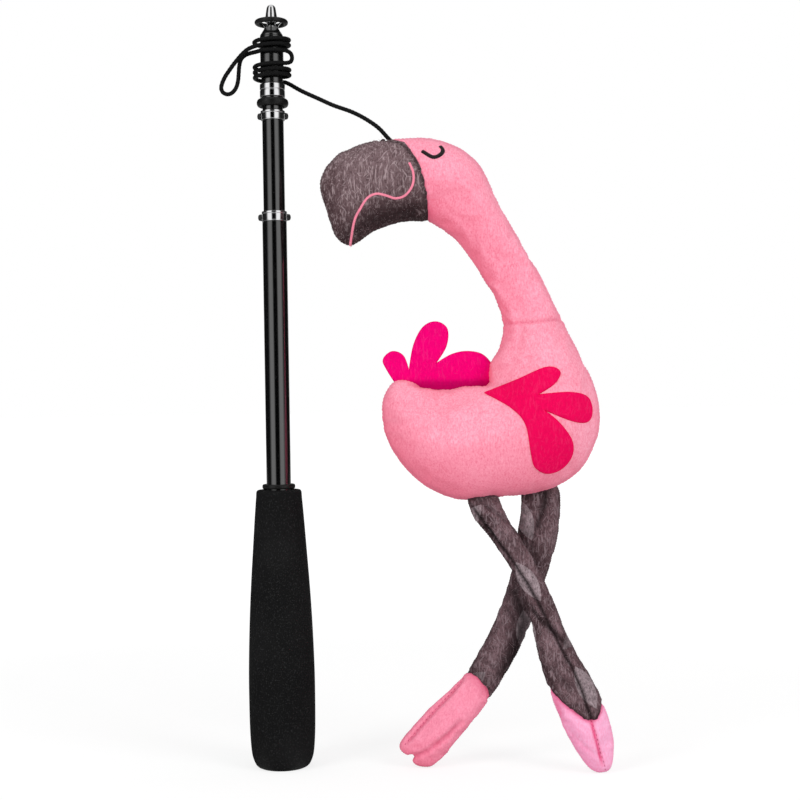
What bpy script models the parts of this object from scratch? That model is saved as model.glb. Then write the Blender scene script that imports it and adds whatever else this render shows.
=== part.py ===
"""Telescopic cat fishing rod with a stuffed flamingo on its line.

The rod stands upright on the flat end of its grip, closed to its carrying
length.  Its three inner sections slide up out of the butt tube.  The line is
wound round the hub of the tip section, with one bight pulled out to the left
and the lead running off to the right into the toy's head.  The toy swings on
the lead, and each leg turns at its hip.

World frame: origin at the centre of the grip's flat end, +Z up the rod, +X
towards the toy, and -Y towards the side that the toy's near leg is on.
Sizes below are in millimetres; MM turns them into Blender's metres.
"""

import math
from typing import NamedTuple

import bmesh
import bpy
from mathutils import Vector

MM = 0.001
MERGE = 0.00001
CLEARANCE = 0.3
ROUND_STEPS = 32
SMALL_STEPS = 20

# Nested tubes of the rod, worked outwards from the solid tip rod
TIP_ROD_RADIUS = 3.7
SECTION_3_WALL = 0.375
SECTION_2_WALL = 0.375
BUTT_TUBE_WALL = 0.375
SECTION_3_BORE = TIP_ROD_RADIUS + CLEARANCE
SECTION_3_RADIUS = SECTION_3_BORE + SECTION_3_WALL
SECTION_2_BORE = SECTION_3_RADIUS + CLEARANCE
SECTION_2_RADIUS = SECTION_2_BORE + SECTION_2_WALL
BUTT_TUBE_BORE = SECTION_2_RADIUS + CLEARANCE
BUTT_TUBE_RADIUS = BUTT_TUBE_BORE + BUTT_TUBE_WALL

# Grip, its rubber end cap and the rubber ring above it
GRIP_LENGTH = 129.9
GRIP_END_RADIUS = 10.8
GRIP_HEEL_RADIUS = 13.5
GRIP_HEEL_HEIGHT = 3.0
GRIP_PALM_RADIUS = 15.45
GRIP_PALM_LOW = 19.0
GRIP_PALM_HIGH = 43.0
GRIP_NECK_RADIUS = 10.6
GRIP_NECK_CORNER = 2.0
GRIP_TAPER_RADIUS = 14.5
GRIP_TAPER_HEIGHT = 72.0
GRIP_WAIST_RADIUS = 12.6
GRIP_WAIST_HEIGHT = 102.0
CAP_RADIUS = 7.5
CAP_THICKNESS = 3.0
PLUG_LENGTH = 6.5
CHECK_RING_HEIGHT = 2.3
CHECK_RING_RADIUS = 7.7

# Lengths of each section that show when the rod is closed
BUTT_TUBE_SHOWING = 123.0
BUTT_FERRULE_HEIGHT = 4.6
BUTT_FERRULE_RADIUS = BUTT_TUBE_RADIUS + 0.1
SECTION_2_SHOWING = 42.6
SECTION_2_FERRULE_HEIGHT = 4.3
SECTION_2_FERRULE_RADIUS = SECTION_2_RADIUS + 0.4
SHOULDER_HEIGHT = 12.2
SHOULDER_RADIUS = SECTION_3_RADIUS + 0.425
STOP_RING_RADIUS = 7.45
STOP_RING_HEIGHT = 3.6
STOP_RING_RISE = 1.7
BAND_HEIGHT = 6.0
BAND_WALL = 0.8

# Side studs on the two ferrules
STUD_HALF_WIDTH = 1.2
STUD_HALF_HEIGHT = 1.6
STUD_REACH = 1.8
STUD_RISE = 1.9

# Hub that carries the line, its cone, the tip and the guide ring
SLEEVE_HEIGHT = 4.6
SLEEVE_RADIUS = 5.1
BARREL_HEIGHT = 17.2
BARREL_RADIUS = 5.45
CONE_HEIGHT = 4.3
CONE_TOP_RADIUS = 2.9
TIP_HEIGHT = 10.2
TIP_NECK_RADIUS = 3.4
TIP_NECK_HEIGHT = 2.6
TIP_TOP_RADIUS = 2.0
RING_RADIUS = 6.7
RING_WIRE_RADIUS = 1.15
RING_RISE = 1.9
BRACKET_WALL = 0.7
BRACKET_HEIGHT = 1.6
BRACKET_ARM_WIDTH = 2.4

# Line: one cord from the knot behind the hub to the toy's head
LINE_DIAMETER = 2.0
LINE_PITCH = 2.45
LINE_POINTS_PER_TURN = 24
LINE_OVAL = 1.3
LINE_STEP = 1.9
LEAD_STEP = 4.5
KNOT_RADIUS = 1.7
KNOT_ANGLE = 190.0
UPPER_START_ANGLE = 165.0
UPPER_END_ANGLE = -390.0
LOWER_START_ANGLE = 35.0
LOWER_END_ANGLE = -900.0
UPPER_TURN_RISE = 15.1
CROSSING_RISE = 9.85
LOWER_TURN_RISE = 3.5
LEAD_START = 6.2
LEAD_DROP = 0.3
LINE_END_BALL_STEPS = 3

# Bight pulled out to the left: x, y and height above the barrel's foot
BIGHT_ROUTE = (
    (-7.4, -4.25, 12.1), (-10.6, -2.9, 11.2), (-13.2, -2.0, 9.5), (-15.5, -1.5, 7.2),
    (-17.9, -1.0, 4.5), (-20.1, -0.5, 1.7), (-22.2, -0.2, -1.3), (-23.6, 0.0, -4.3),
    (-24.0, 0.0, -6.7), (-23.1, 0.1, -8.5), (-21.1, 0.2, -9.3), (-19.0, 0.3, -8.6),
    (-17.2, 0.5, -6.4), (-16.2, 0.7, -3.3), (-15.8, 0.9, 0.5), (-15.5, 1.2, 4.1),
    (-14.6, 1.3, 7.3), (-12.6, 0.9, 9.1), (-9.9, -0.6, 9.7), (-6.9, -3.3, 9.7),
)
# Slack arc on the right, between the crossing and the lower turns
ARC_ROUTE = (
    (4.8, -5.6, 9.85), (7.2, -3.9, 9.8), (9.0, -2.3, 8.9), (9.6, -1.7, 7.0),
    (9.0, -2.2, 5.1), (7.2, -3.9, 4.1), (5.0, -5.4, 3.85),
)
# Lead: share of the way to the toy, and height above the straight line there
LEAD_SAG = ((0.15, 0.0), (0.33, 0.75), (0.47, 1.4), (0.65, 3.0), (0.79, 3.2), (0.91, 2.3))
LEAD_ENTRY = (53.9, 292.9)

# Toy: thickness of each stuffed form, all centred on the plane of its seam
TOY_PLANE = -8.0
BODY_HALF_DEPTH = 20.0
NECK_HALF_DEPTH = 12.5
HEAD_HALF_DEPTH = 14.0
BEAK_HALF_DEPTH = 13.0
LEG_HALF_DEPTH = 5.5
FOOT_HALF_DEPTH = 7.4
FORM_SIDES = 20
LIMB_SIDES = 16
FORM_FULLNESS = 2.2
FELT_THICKNESS = 1.3
WING_PRISM_DEPTH = 30.0
FLOOR_CUT = 40.0
HIP_DOME_RINGS = 4


class Section(NamedTuple):
    """One cross-section of a stuffed form: two edge points and its depth."""

    left: tuple
    right: tuple
    depth: float
    plane: float = TOY_PLANE


# Body without the root of its neck: x, underside, back and share of its depth
BODY_STATIONS = (
    (49.6, 160.0, 167.5, 0.12), (51.0, 154.0, 174.0, 0.38), (54.0, 148.0, 178.5, 0.58),
    (59.0, 141.0, 180.3, 0.74), (66.0, 134.3, 179.3, 0.88), (76.0, 128.0, 177.4, 0.97),
    (87.0, 125.0, 177.3, 1.0), (100.0, 125.6, 177.5, 1.0), (114.0, 127.0, 180.0, 0.97),
    (127.0, 130.0, 181.0, 0.88), (137.0, 134.8, 180.0, 0.74), (144.3, 142.5, 176.0, 0.53),
    (148.6, 152.4, 170.5, 0.32), (150.2, 159.0, 164.5, 0.12),
)
NECK_ROOT_SECTIONS = (
    Section((98.0, 160.0), (143.0, 156.0), 0.8), Section((99.5, 176.0), (147.2, 174.0), 1.15),
    Section((101.5, 187.0), (143.5, 186.5), 1.2), Section((104.8, 196.0), (138.7, 196.5), 1.1),
)
NECK_SEAM = Section((106.2, 205.7), (134.3, 206.2), 1.03)
NECK_SECTIONS = (
    Section((105.4, 211.0), (129.5, 215.4), 0.98), Section((103.4, 217.3), (123.2, 228.2), 0.93),
    Section((99.6, 224.1), (116.2, 241.6), 0.94), Section((94.1, 232.6), (109.3, 254.4), 0.98),
)
HEAD_SEAM = Section((88.6, 240.6), (102.8, 267.8), 1.04)
HEAD_SECTIONS = (
    Section((84.0, 245.8), (96.4, 279.5), 0.97), Section((79.5, 249.6), (88.2, 286.6), 1.0),
    Section((75.6, 252.3), (77.5, 291.0), 1.0), Section((73.2, 253.2), (66.5, 292.7), 0.98),
)
BEAK_SEAM = Section((71.5, 253.6), (57.0, 291.8), 1.0)
BEAK_SECTIONS = (
    Section((64.0, 253.6), (50.0, 291.5), 1.02), Section((56.5, 252.6), (42.0, 289.7), 0.98),
    Section((50.0, 250.7), (34.8, 286.9), 0.9), Section((44.5, 247.9), (28.8, 283.2), 0.8),
    Section((40.0, 244.8), (24.6, 277.9), 0.68), Section((36.6, 243.0), (22.4, 271.0), 0.54),
    Section((33.2, 243.7), (23.2, 264.0), 0.4), Section((30.4, 245.6), (25.4, 257.2), 0.24),
    Section((28.8, 248.3), (27.0, 252.6), 0.1),
)

# Legs, hip to seam, then foot to toe; the near leg stands in front
NEAR_LEG_SECTIONS = (
    Section((89.4, 116.8), (104.4, 119.2), 1.0, -14.0), Section((94.8, 109.6), (107.8, 114.0), 0.97, -14.5),
    Section((100.6, 101.5), (113.6, 105.2), 0.97, -15.0), Section((106.7, 91.4), (119.3, 94.8), 0.97, -15.5),
    Section((111.4, 81.6), (125.2, 84.0), 0.97, -16.2), Section((115.5, 71.3), (130.2, 72.6), 0.97, -17.0),
    Section((117.4, 61.6), (133.7, 61.8), 0.97, -17.8), Section((119.2, 51.8), (138.9, 51.8), 1.0, -18.6),
    Section((121.9, 42.6), (144.9, 42.0), 1.1, -19.2),
)
NEAR_ANKLE = Section((124.4, 34.8), (148.2, 33.2), 1.2, -19.8)
NEAR_FOOT_SECTIONS = (
    Section((127.8, 24.0), (151.6, 23.0), 0.98, -20.6), Section((131.6, 15.0), (152.8, 13.5), 0.98, -21.2),
    Section((136.6, 7.6), (152.4, 6.0), 0.8, -21.8), Section((141.6, 2.4), (151.2, 1.4), 0.62, -22.2),
    Section((144.4, -0.8), (149.6, -1.3), 0.36, -22.4),
)
FAR_LEG_SECTIONS = (
    Section((112.9, 119.1), (131.5, 120.6), 0.9, -3.0), Section((111.3, 109.5), (130.8, 110.6), 0.9, -2.8),
    Section((109.7, 98.4), (128.3, 98.4), 0.9, -2.7), Section((107.4, 87.9), (124.4, 86.8), 0.9, -2.6),
    Section((103.5, 75.8), (120.3, 74.6), 0.9, -2.6), Section((99.2, 65.7), (115.9, 63.0), 0.93, -2.7),
    Section((93.7, 55.2), (110.4, 50.8), 1.0, -3.0), Section((88.9, 47.3), (103.8, 40.2), 1.1, -3.6),
)
FAR_ANKLE = Section((85.8, 42.9), (97.2, 30.2), 1.2, -4.2)
FAR_FOOT_SECTIONS = (
    Section((77.8, 34.8), (91.0, 22.4), 0.97, -4.6), Section((68.2, 26.8), (84.0, 14.6), 0.95, -4.8),
    Section((60.6, 18.8), (77.0, 6.4), 0.86, -5.2), Section((55.6, 12.6), (70.4, 0.6), 0.7, -5.8),
    Section((54.2, 8.6), (64.2, -0.9), 0.5, -6.4), Section((56.6, 4.6), (60.6, 0.9), 0.3, -6.8),
)

# Felt outlines: x, z and whether the outline has a sharp corner there
WING_OUTLINE = (
    (97.1, 173.8, True), (111.4, 179.3, False), (125.7, 185.1, False), (132.1, 183.0, False),
    (129.4, 177.6, False), (121.2, 172.4, True), (136.2, 173.3, False), (145.0, 171.2, False),
    (147.6, 165.2, False), (145.4, 159.6, False), (137.5, 160.0, False), (123.6, 165.6, True),
    (131.0, 159.4, False), (137.2, 151.0, False), (137.4, 143.6, False), (132.6, 137.6, False),
    (125.6, 135.6, False), (119.8, 138.9, False), (117.8, 146.0, False), (115.4, 158.8, False),
    (109.0, 166.6, False),
)
TAIL_OUTLINE = (
    (57.4, 176.0, True), (51.6, 185.4, False), (50.1, 190.0, False), (54.2, 193.6, False),
    (59.4, 191.6, False), (62.0, 184.6, True), (64.4, 196.6, False), (69.0, 204.8, False),
    (75.0, 207.0, False), (80.0, 203.6, False), (79.4, 195.6, False), (74.2, 187.4, True),
    (82.0, 191.8, False), (89.6, 193.1, False), (96.8, 191.2, False), (100.9, 184.6, False),
    (98.4, 174.0, True),
)

# Heights that follow from the sizes above
CHECK_RING_BASE = GRIP_LENGTH + CLEARANCE
CHECK_RING_TOP = CHECK_RING_BASE + CHECK_RING_HEIGHT
BUTT_TUBE_TOP = CHECK_RING_TOP + BUTT_TUBE_SHOWING
BUTT_FERRULE_BASE = BUTT_TUBE_TOP + CLEARANCE
BUTT_FERRULE_TOP = BUTT_FERRULE_BASE + BUTT_FERRULE_HEIGHT
SECTION_2_TOP = BUTT_FERRULE_TOP + SECTION_2_SHOWING
SECTION_2_FERRULE_BASE = SECTION_2_TOP + CLEARANCE
SHOULDER_BASE = SECTION_2_FERRULE_BASE + SECTION_2_FERRULE_HEIGHT + CLEARANCE
SHOULDER_TOP = SHOULDER_BASE + SHOULDER_HEIGHT
PLUG_TOP = CAP_THICKNESS + PLUG_LENGTH
INNER_BASE = PLUG_TOP + CLEARANCE
SLEEVE_BASE = SHOULDER_TOP + CLEARANCE
BARREL_BASE = SLEEVE_BASE + SLEEVE_HEIGHT + CLEARANCE
CONE_BASE = BARREL_BASE + BARREL_HEIGHT + CLEARANCE
TIP_BASE = CONE_BASE + CONE_HEIGHT + CLEARANCE
LINE_RADIUS = LINE_DIAMETER / 2
TURN_RADIUS = BARREL_RADIUS + CLEARANCE + LINE_RADIUS + 0.1

BLACK_GLOSS = ("black_gloss", (0.006, 0.006, 0.007), 0.22, 0.0)
BLACK_SATIN = ("black_satin", (0.012, 0.012, 0.013), 0.4, 0.0)
BLACK_FOAM = ("black_foam", (0.014, 0.014, 0.015), 0.92, 0.0)
BLACK_RUBBER = ("black_rubber", (0.012, 0.012, 0.012), 0.65, 0.0)
CHROME = ("chrome", (0.83, 0.83, 0.85), 0.08, 1.0)
LINE_BLACK = ("line_black", (0.012, 0.012, 0.013), 0.8, 0.0)
PLUSH_PINK = ("plush_pink", (1.0, 0.33, 0.46), 0.95, 0.0)
FOOT_PINK = ("foot_pink", (1.0, 0.24, 0.42), 0.9, 0.0)
BEAK_TAUPE = ("beak_taupe", (0.115, 0.075, 0.085), 0.9, 0.0)
FELT_MAGENTA = ("felt_magenta", (0.93, 0.0, 0.14), 0.95, 0.0)


def make_collection(name):
    """Return a new collection in the scene."""
    collection = bpy.data.collections.new(name)
    bpy.context.scene.collection.children.link(collection)
    return collection


def make_material(spec):
    """Return the Principled material for a finish, made once and then shared."""
    name, colour, roughness, metallic = spec
    found = bpy.data.materials.get(name)
    if found:
        return found
    made = bpy.data.materials.new(name)
    made.use_nodes = True
    shader = made.node_tree.nodes["Principled BSDF"]
    shader.inputs["Base Color"].default_value = (*colour, 1.0)
    shader.inputs["Roughness"].default_value = roughness
    shader.inputs["Metallic"].default_value = metallic
    made.diffuse_color = (*colour, 1.0)
    return made


def make_joint(name, point, parent=None):
    """Return an empty standing on a joint's axis; its pieces are its children."""
    empty = bpy.data.objects.new(name, None)
    parts.objects.link(empty)
    empty.empty_display_size = 0.01
    place(empty, point, parent)
    empty["world_mm"] = point
    return empty


def place(piece, point, parent=None):
    """Put a piece at a world point in millimetres, under its parent empty."""
    offset = Vector(parent["world_mm"]) if parent else Vector()
    piece.parent = parent
    piece.location = (Vector(point) - offset) * MM


def add_piece(name, data, finish, point, parent):
    """Link a named piece of the model and give it its finish and its place."""
    piece = bpy.data.objects.new(name, data)
    parts.objects.link(piece)
    data.materials.append(make_material(finish))
    place(piece, point, parent)
    return piece


def add_cutter(name, data, point=(0.0, 0.0, 0.0)):
    """Link a shape that only cuts or joins others."""
    cutter = bpy.data.objects.new(name, data)
    cutters.objects.link(cutter)
    place(cutter, point)
    cutter.hide_render = True
    cutter.display_type = "WIRE"
    return cutter


def add_boolean(piece, cutter, operation):
    """Cut a piece with another shape, or join or intersect the two."""
    modifier = piece.modifiers.new(f"{operation.lower()}_{cutter.name}", "BOOLEAN")
    modifier.operation = operation
    modifier.object = cutter
    modifier.solver = "EXACT"


def mesh_from_bmesh(name, built):
    """Finish a bmesh: faces out, smooth on the round, sharp on the edges."""
    bmesh.ops.recalc_face_normals(built, faces=built.faces)
    mesh = bpy.data.meshes.new(name)
    built.to_mesh(mesh)
    built.free()
    mesh.shade_smooth()
    mesh.set_sharp_from_angle(angle=math.radians(40))
    return mesh


def profile_mesh(name, profile, closed):
    """Return the edges of a turned profile, given as radius and height pairs."""
    mesh = bpy.data.meshes.new(name)
    points = [(radius * MM, 0.0, height * MM) for radius, height in profile]
    edges = [(index, index + 1) for index in range(len(points) - 1)]
    if closed:
        edges.append((len(points) - 1, 0))
    mesh.from_pydata(points, edges, [])
    return mesh


def add_screw(piece, steps):
    """Turn a piece's profile once round its own Z axis."""
    screw = piece.modifiers.new("turned", "SCREW")
    screw.angle = math.tau
    screw.axis = "Z"
    screw.steps = steps
    screw.render_steps = steps
    screw.use_merge_vertices = True
    screw.merge_threshold = MERGE
    screw.use_smooth_shade = True


def turned(name, outer, bore, finish, base, parent, steps=ROUND_STEPS):
    """Turn a piece about the rod's axis.

    outer runs down the outside, top to bottom, and bore is the radius of a
    straight hole right through, or 0 where the piece is solid.
    """
    profile = list(outer)
    if bore:
        profile = profile + [(bore, outer[-1][1]), (bore, outer[0][1])]
    else:
        profile = [(0.0, outer[0][1])] + profile + [(0.0, outer[-1][1])]
    piece = add_piece(name, profile_mesh(name, profile, bool(bore)), finish, (0, 0, base), parent)
    add_screw(piece, steps)
    return piece


def rounded_end(radius, height, corner, rise, steps=3):
    """Return the points of a rounded corner, from its flat end to its side."""
    points = []
    for step in range(steps + 1):
        angle = math.pi / 2 * step / steps
        across = radius - corner + corner * math.sin(angle)
        points.append((across, height + rise * (corner * math.cos(angle) - corner)))
    return points


def build_grip():
    """Foam grip with its end cap and plug, and the rubber ring above it."""
    bore = BUTT_TUBE_RADIUS + CLEARANCE
    pocket = CAP_RADIUS + CLEARANCE
    pocket_top = CAP_THICKNESS + CLEARANCE
    profile = rounded_end(GRIP_NECK_RADIUS, GRIP_LENGTH, GRIP_NECK_CORNER, 1.0)
    profile += [
        (GRIP_WAIST_RADIUS, GRIP_WAIST_HEIGHT),
        (GRIP_TAPER_RADIUS, GRIP_TAPER_HEIGHT),
        (GRIP_PALM_RADIUS, GRIP_PALM_HIGH),
        (GRIP_PALM_RADIUS - 0.1, GRIP_PALM_LOW),
        (GRIP_HEEL_RADIUS + 0.9, GRIP_HEEL_HEIGHT * 2),
        (GRIP_HEEL_RADIUS, GRIP_HEEL_HEIGHT),
        (GRIP_END_RADIUS + 1.5, GRIP_HEEL_HEIGHT * 0.3),
        (GRIP_END_RADIUS, 0.0),
        (pocket, 0.0), (pocket, pocket_top), (bore, pocket_top), (bore, GRIP_LENGTH),
    ]
    grip = add_piece("foam_grip", profile_mesh("foam_grip", profile, True), BLACK_FOAM, (0, 0, 0), rod)
    add_screw(grip, ROUND_STEPS)

    plug_radius = BUTT_TUBE_BORE - CLEARANCE
    cap_profile = [
        (plug_radius - 0.5, PLUG_TOP), (plug_radius, PLUG_TOP - 0.5), (plug_radius, CAP_THICKNESS),
        (CAP_RADIUS, CAP_THICKNESS), (CAP_RADIUS, 0.0),
    ]
    turned("butt_cap", cap_profile, 0.0, BLACK_RUBBER, 0.0, rod)

    ring_edge = CHECK_RING_HEIGHT * 0.4
    ring_profile = rounded_end(CHECK_RING_RADIUS, CHECK_RING_HEIGHT, ring_edge, 1.0)
    ring_profile += list(reversed(rounded_end(CHECK_RING_RADIUS, 0.0, ring_edge, -1.0)))
    turned("grip_check_ring", ring_profile, bore, BLACK_RUBBER, CHECK_RING_BASE, rod)


def plain_tube(name, radius, bore, low, high, finish, parent):
    """A straight round tube between two heights."""
    return turned(name, [(radius, high - low), (radius, 0.0)], bore, finish, low, parent)


def ferrule(name, radius, bore, height, base, parent):
    """A chrome ring with softened rims, seated on the end of a tube."""
    edge = 0.25
    outer = [(radius - edge, height), (radius, height - edge), (radius, edge), (radius - edge, 0.0)]
    return turned(name, outer, bore, CHROME, base, parent)


def studs(prefix, ferrule_radius, height, parent):
    """A domed stud on each side of a ferrule, hollowed to sit on it."""
    seat = bmesh.new()
    bmesh.ops.create_cone(
        seat, cap_ends=True, segments=ROUND_STEPS, radius1=(ferrule_radius + CLEARANCE) * MM,
        radius2=(ferrule_radius + CLEARANCE) * MM, depth=4 * STUD_HALF_HEIGHT * MM,
    )
    seat_name = f"{prefix}_stud_seat"
    seat_cutter = add_cutter(seat_name, mesh_from_bmesh(seat_name, seat), (0, 0, height))
    for side, sign in (("left", -1), ("right", 1)):
        dome = bmesh.new()
        bmesh.ops.create_uvsphere(dome, u_segments=12, v_segments=8, radius=1.0)
        depth = STUD_REACH + 0.6
        bmesh.ops.scale(dome, vec=(depth * MM, STUD_HALF_WIDTH * MM, STUD_HALF_HEIGHT * MM), verts=dome.verts)
        name = f"{prefix}_stud_{side}"
        where = (sign * (ferrule_radius + STUD_REACH - depth), 0, height)
        piece = add_piece(name, mesh_from_bmesh(name, dome), BLACK_SATIN, where, parent)
        add_boolean(piece, seat_cutter, "DIFFERENCE")


def build_sections():
    """Butt tube and the two hollow sections, with their ferrules and studs."""
    plain_tube("butt_tube", BUTT_TUBE_RADIUS, BUTT_TUBE_BORE, CAP_THICKNESS + CLEARANCE,
               BUTT_TUBE_TOP, BLACK_GLOSS, rod)
    ferrule("butt_ferrule", BUTT_FERRULE_RADIUS, BUTT_TUBE_BORE, BUTT_FERRULE_HEIGHT, BUTT_FERRULE_BASE, rod)
    studs("butt", BUTT_FERRULE_RADIUS, BUTT_FERRULE_BASE + STUD_RISE, rod)

    plain_tube("section_2_tube", SECTION_2_RADIUS, SECTION_2_BORE, INNER_BASE, SECTION_2_TOP,
               BLACK_GLOSS, section_2)
    ferrule("section_2_ferrule", SECTION_2_FERRULE_RADIUS, SECTION_2_BORE, SECTION_2_FERRULE_HEIGHT,
            SECTION_2_FERRULE_BASE, section_2)
    studs("section_2", SECTION_2_FERRULE_RADIUS, SECTION_2_FERRULE_BASE + STUD_RISE, section_2)

    outer = [
        (SHOULDER_RADIUS, SHOULDER_TOP - INNER_BASE), (SHOULDER_RADIUS, SHOULDER_BASE - INNER_BASE),
        (SECTION_3_RADIUS, SHOULDER_BASE - INNER_BASE), (SECTION_3_RADIUS, 0.0),
    ]
    turned("section_3_tube", outer, SECTION_3_BORE, BLACK_GLOSS, INNER_BASE, section_3)

    band_bore = SHOULDER_RADIUS + CLEARANCE
    ferrule("section_3_band", band_bore + BAND_WALL, band_bore, BAND_HEIGHT, SHOULDER_TOP - BAND_HEIGHT,
            section_3)

    ring_points = []
    half_wall = (STOP_RING_RADIUS - band_bore) / 2
    for step in range(12):
        angle = math.pi / 2 - math.tau * step / 12
        ring_points.append((band_bore + half_wall + half_wall * math.cos(angle),
                            STOP_RING_HEIGHT / 2 * (1 + math.sin(angle))))
    ring = add_piece("stop_ring", profile_mesh("stop_ring", ring_points, True), BLACK_RUBBER,
                     (0, 0, SHOULDER_BASE + STOP_RING_RISE), section_3)
    add_screw(ring, ROUND_STEPS)


def build_tip():
    """Solid tip rod, the hub that the line is wound on, the cone and the tip."""
    plain_tube("tip_rod", TIP_ROD_RADIUS, 0.0, INNER_BASE, CONE_BASE - CLEARANCE, BLACK_GLOSS, tip)
    hub_bore = TIP_ROD_RADIUS + CLEARANCE
    turned("hub_sleeve", [(SLEEVE_RADIUS, SLEEVE_HEIGHT), (SLEEVE_RADIUS, 0.0)], hub_bore, BLACK_SATIN,
           SLEEVE_BASE, tip)
    turned("hub_barrel", [(BARREL_RADIUS, BARREL_HEIGHT), (BARREL_RADIUS, 0.0)], hub_bore, BLACK_SATIN,
           BARREL_BASE, tip)
    cone = [(CONE_TOP_RADIUS, CONE_HEIGHT), (CONE_TOP_RADIUS + 0.5, CONE_HEIGHT - 0.5),
            (BARREL_RADIUS, 0.5), (BARREL_RADIUS, 0.0)]
    turned("hub_cone", cone, 0.0, BLACK_SATIN, CONE_BASE, tip)

    top = rounded_end(TIP_TOP_RADIUS, TIP_HEIGHT, 1.2, 1.0)
    tip_profile = top + [
        (TIP_NECK_RADIUS - 0.75, TIP_HEIGHT * 0.5), (TIP_NECK_RADIUS - 0.3, TIP_NECK_HEIGHT + 0.7),
        (TIP_NECK_RADIUS, TIP_NECK_HEIGHT), (TIP_NECK_RADIUS, 0.0),
    ]
    turned("tip_cap", tip_profile, 0.0, CHROME, TIP_BASE, tip)
    build_guide_ring()


def build_guide_ring():
    """Rubber guide ring round the tip, on a chrome bracket with two arms."""
    ring = [(RING_RADIUS + RING_WIRE_RADIUS * math.sin(math.tau * step / 12),
             RING_WIRE_RADIUS * math.cos(math.tau * step / 12)) for step in range(12)]
    piece = add_piece("guide_ring", profile_mesh("guide_ring", ring, True), BLACK_RUBBER,
                      (0, 0, TIP_BASE + RING_RISE), tip)
    add_screw(piece, ROUND_STEPS)

    bore = TIP_NECK_RADIUS + CLEARANCE
    rim = bore + BRACKET_WALL
    bracket = turned("ring_bracket", [(rim, BRACKET_HEIGHT), (rim, 0.0)], bore, CHROME,
                     TIP_BASE + RING_RISE - BRACKET_HEIGHT / 2, tip)
    reach = RING_RADIUS - RING_WIRE_RADIUS - CLEARANCE
    overlap = BRACKET_WALL / 2
    length = reach - rim + overlap
    for side, sign in (("front", -1), ("back", 1)):
        arm = bmesh.new()
        bmesh.ops.create_cube(arm, size=1.0)
        arm_size = Vector((BRACKET_ARM_WIDTH, length, BRACKET_HEIGHT - 0.4)) * MM
        bmesh.ops.scale(arm, vec=arm_size, verts=arm.verts)
        middle = rim - overlap + length / 2
        cutter = add_cutter(f"bracket_arm_{side}", mesh_from_bmesh(f"bracket_arm_{side}", arm),
                            (0, sign * middle, TIP_BASE + RING_RISE))
        add_boolean(bracket, cutter, "UNION")


def turn_point(angle, height):
    """Point of the line where it lies on the hub, a little slack at the sides."""
    turn = math.radians(angle)
    radius = TURN_RADIUS + LINE_OVAL * math.sin(turn) ** 2
    return Vector((radius * math.sin(turn), -radius * math.cos(turn), height))


def turns(first, last, front_height):
    """Points of a helix, whose height at angle 0 is the front height."""
    count = round(abs(last - first) / 360 * LINE_POINTS_PER_TURN)
    angles = [first + (last - first) * step / count for step in range(count + 1)]
    return [turn_point(angle, front_height + LINE_PITCH * angle / 360) for angle in angles]


def curve_between(before, start, end, after, share):
    """Catmull-Rom point between start and end."""
    square = share * share
    cube = square * share
    return 0.5 * (2 * start + (end - before) * share + (2 * before - 5 * start + 4 * end - after) * square
                  + (3 * start - before - 3 * end + after) * cube)


def smooth_route(route, step):
    """Points a step apart along a smooth curve through a route's own points."""
    dense = [route[0]]
    for index in range(len(route) - 1):
        before = route[max(index - 1, 0)]
        after = route[min(index + 2, len(route) - 1)]
        for part in range(1, 9):
            dense.append(curve_between(before, route[index], route[index + 1], after, part / 8))
    lengths = [0.0]
    for start, end in zip(dense, dense[1:]):
        lengths.append(lengths[-1] + (end - start).length)
    count = max(2, round(lengths[-1] / step))
    points = []
    index = 0
    for number in range(count + 1):
        wanted = lengths[-1] * number / count
        while index < len(lengths) - 2 and lengths[index + 1] < wanted:
            index += 1
        span = lengths[index + 1] - lengths[index]
        share = (wanted - lengths[index]) / span if span else 0.0
        points.append(dense[index].lerp(dense[index + 1], min(share, 1.0)))
    return points


def line_stretch(name, points, resolution, parent, trim_start=0.0, trim_end=0.0, ball_start=False):
    """One unbroken tube of the line along its points, its ends trimmed square."""
    points = list(points)
    points[0] = points[0] + (points[1] - points[0]).normalized() * trim_start
    points[-1] = points[-1] + (points[-2] - points[-1]).normalized() * trim_end
    radii = [1.0] * len(points)
    if ball_start:
        centre = points[0]
        back = (centre - points[1]).normalized() * LINE_RADIUS
        for step in range(1, LINE_END_BALL_STEPS + 1):
            angle = math.pi / 2 * step / (LINE_END_BALL_STEPS + 0.4)
            points.insert(0, centre + back * math.sin(angle))
            radii.insert(0, math.cos(angle))
    origin = Vector(parent["world_mm"])
    curve = bpy.data.curves.new(name, "CURVE")
    curve.dimensions = "3D"
    curve.bevel_depth = LINE_RADIUS * MM
    curve.bevel_resolution = resolution
    curve.use_fill_caps = True
    spline = curve.splines.new("POLY")
    spline.points.add(len(points) - 1)
    for point, where, radius in zip(spline.points, points, radii):
        point.co = (*((where - origin) * MM), 1.0)
        point.radius = radius
    return add_piece(name, curve, LINE_BLACK, origin, parent)


def least_gap(points):
    """Least gap between stretches of the line that aren't next to each other."""
    near = round(3 * LINE_DIAMETER / LINE_STEP)
    least = math.inf
    for first, start in enumerate(points):
        for other in points[first + near:]:
            least = min(least, (start - other).length - LINE_DIAMETER)
    return least


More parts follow.
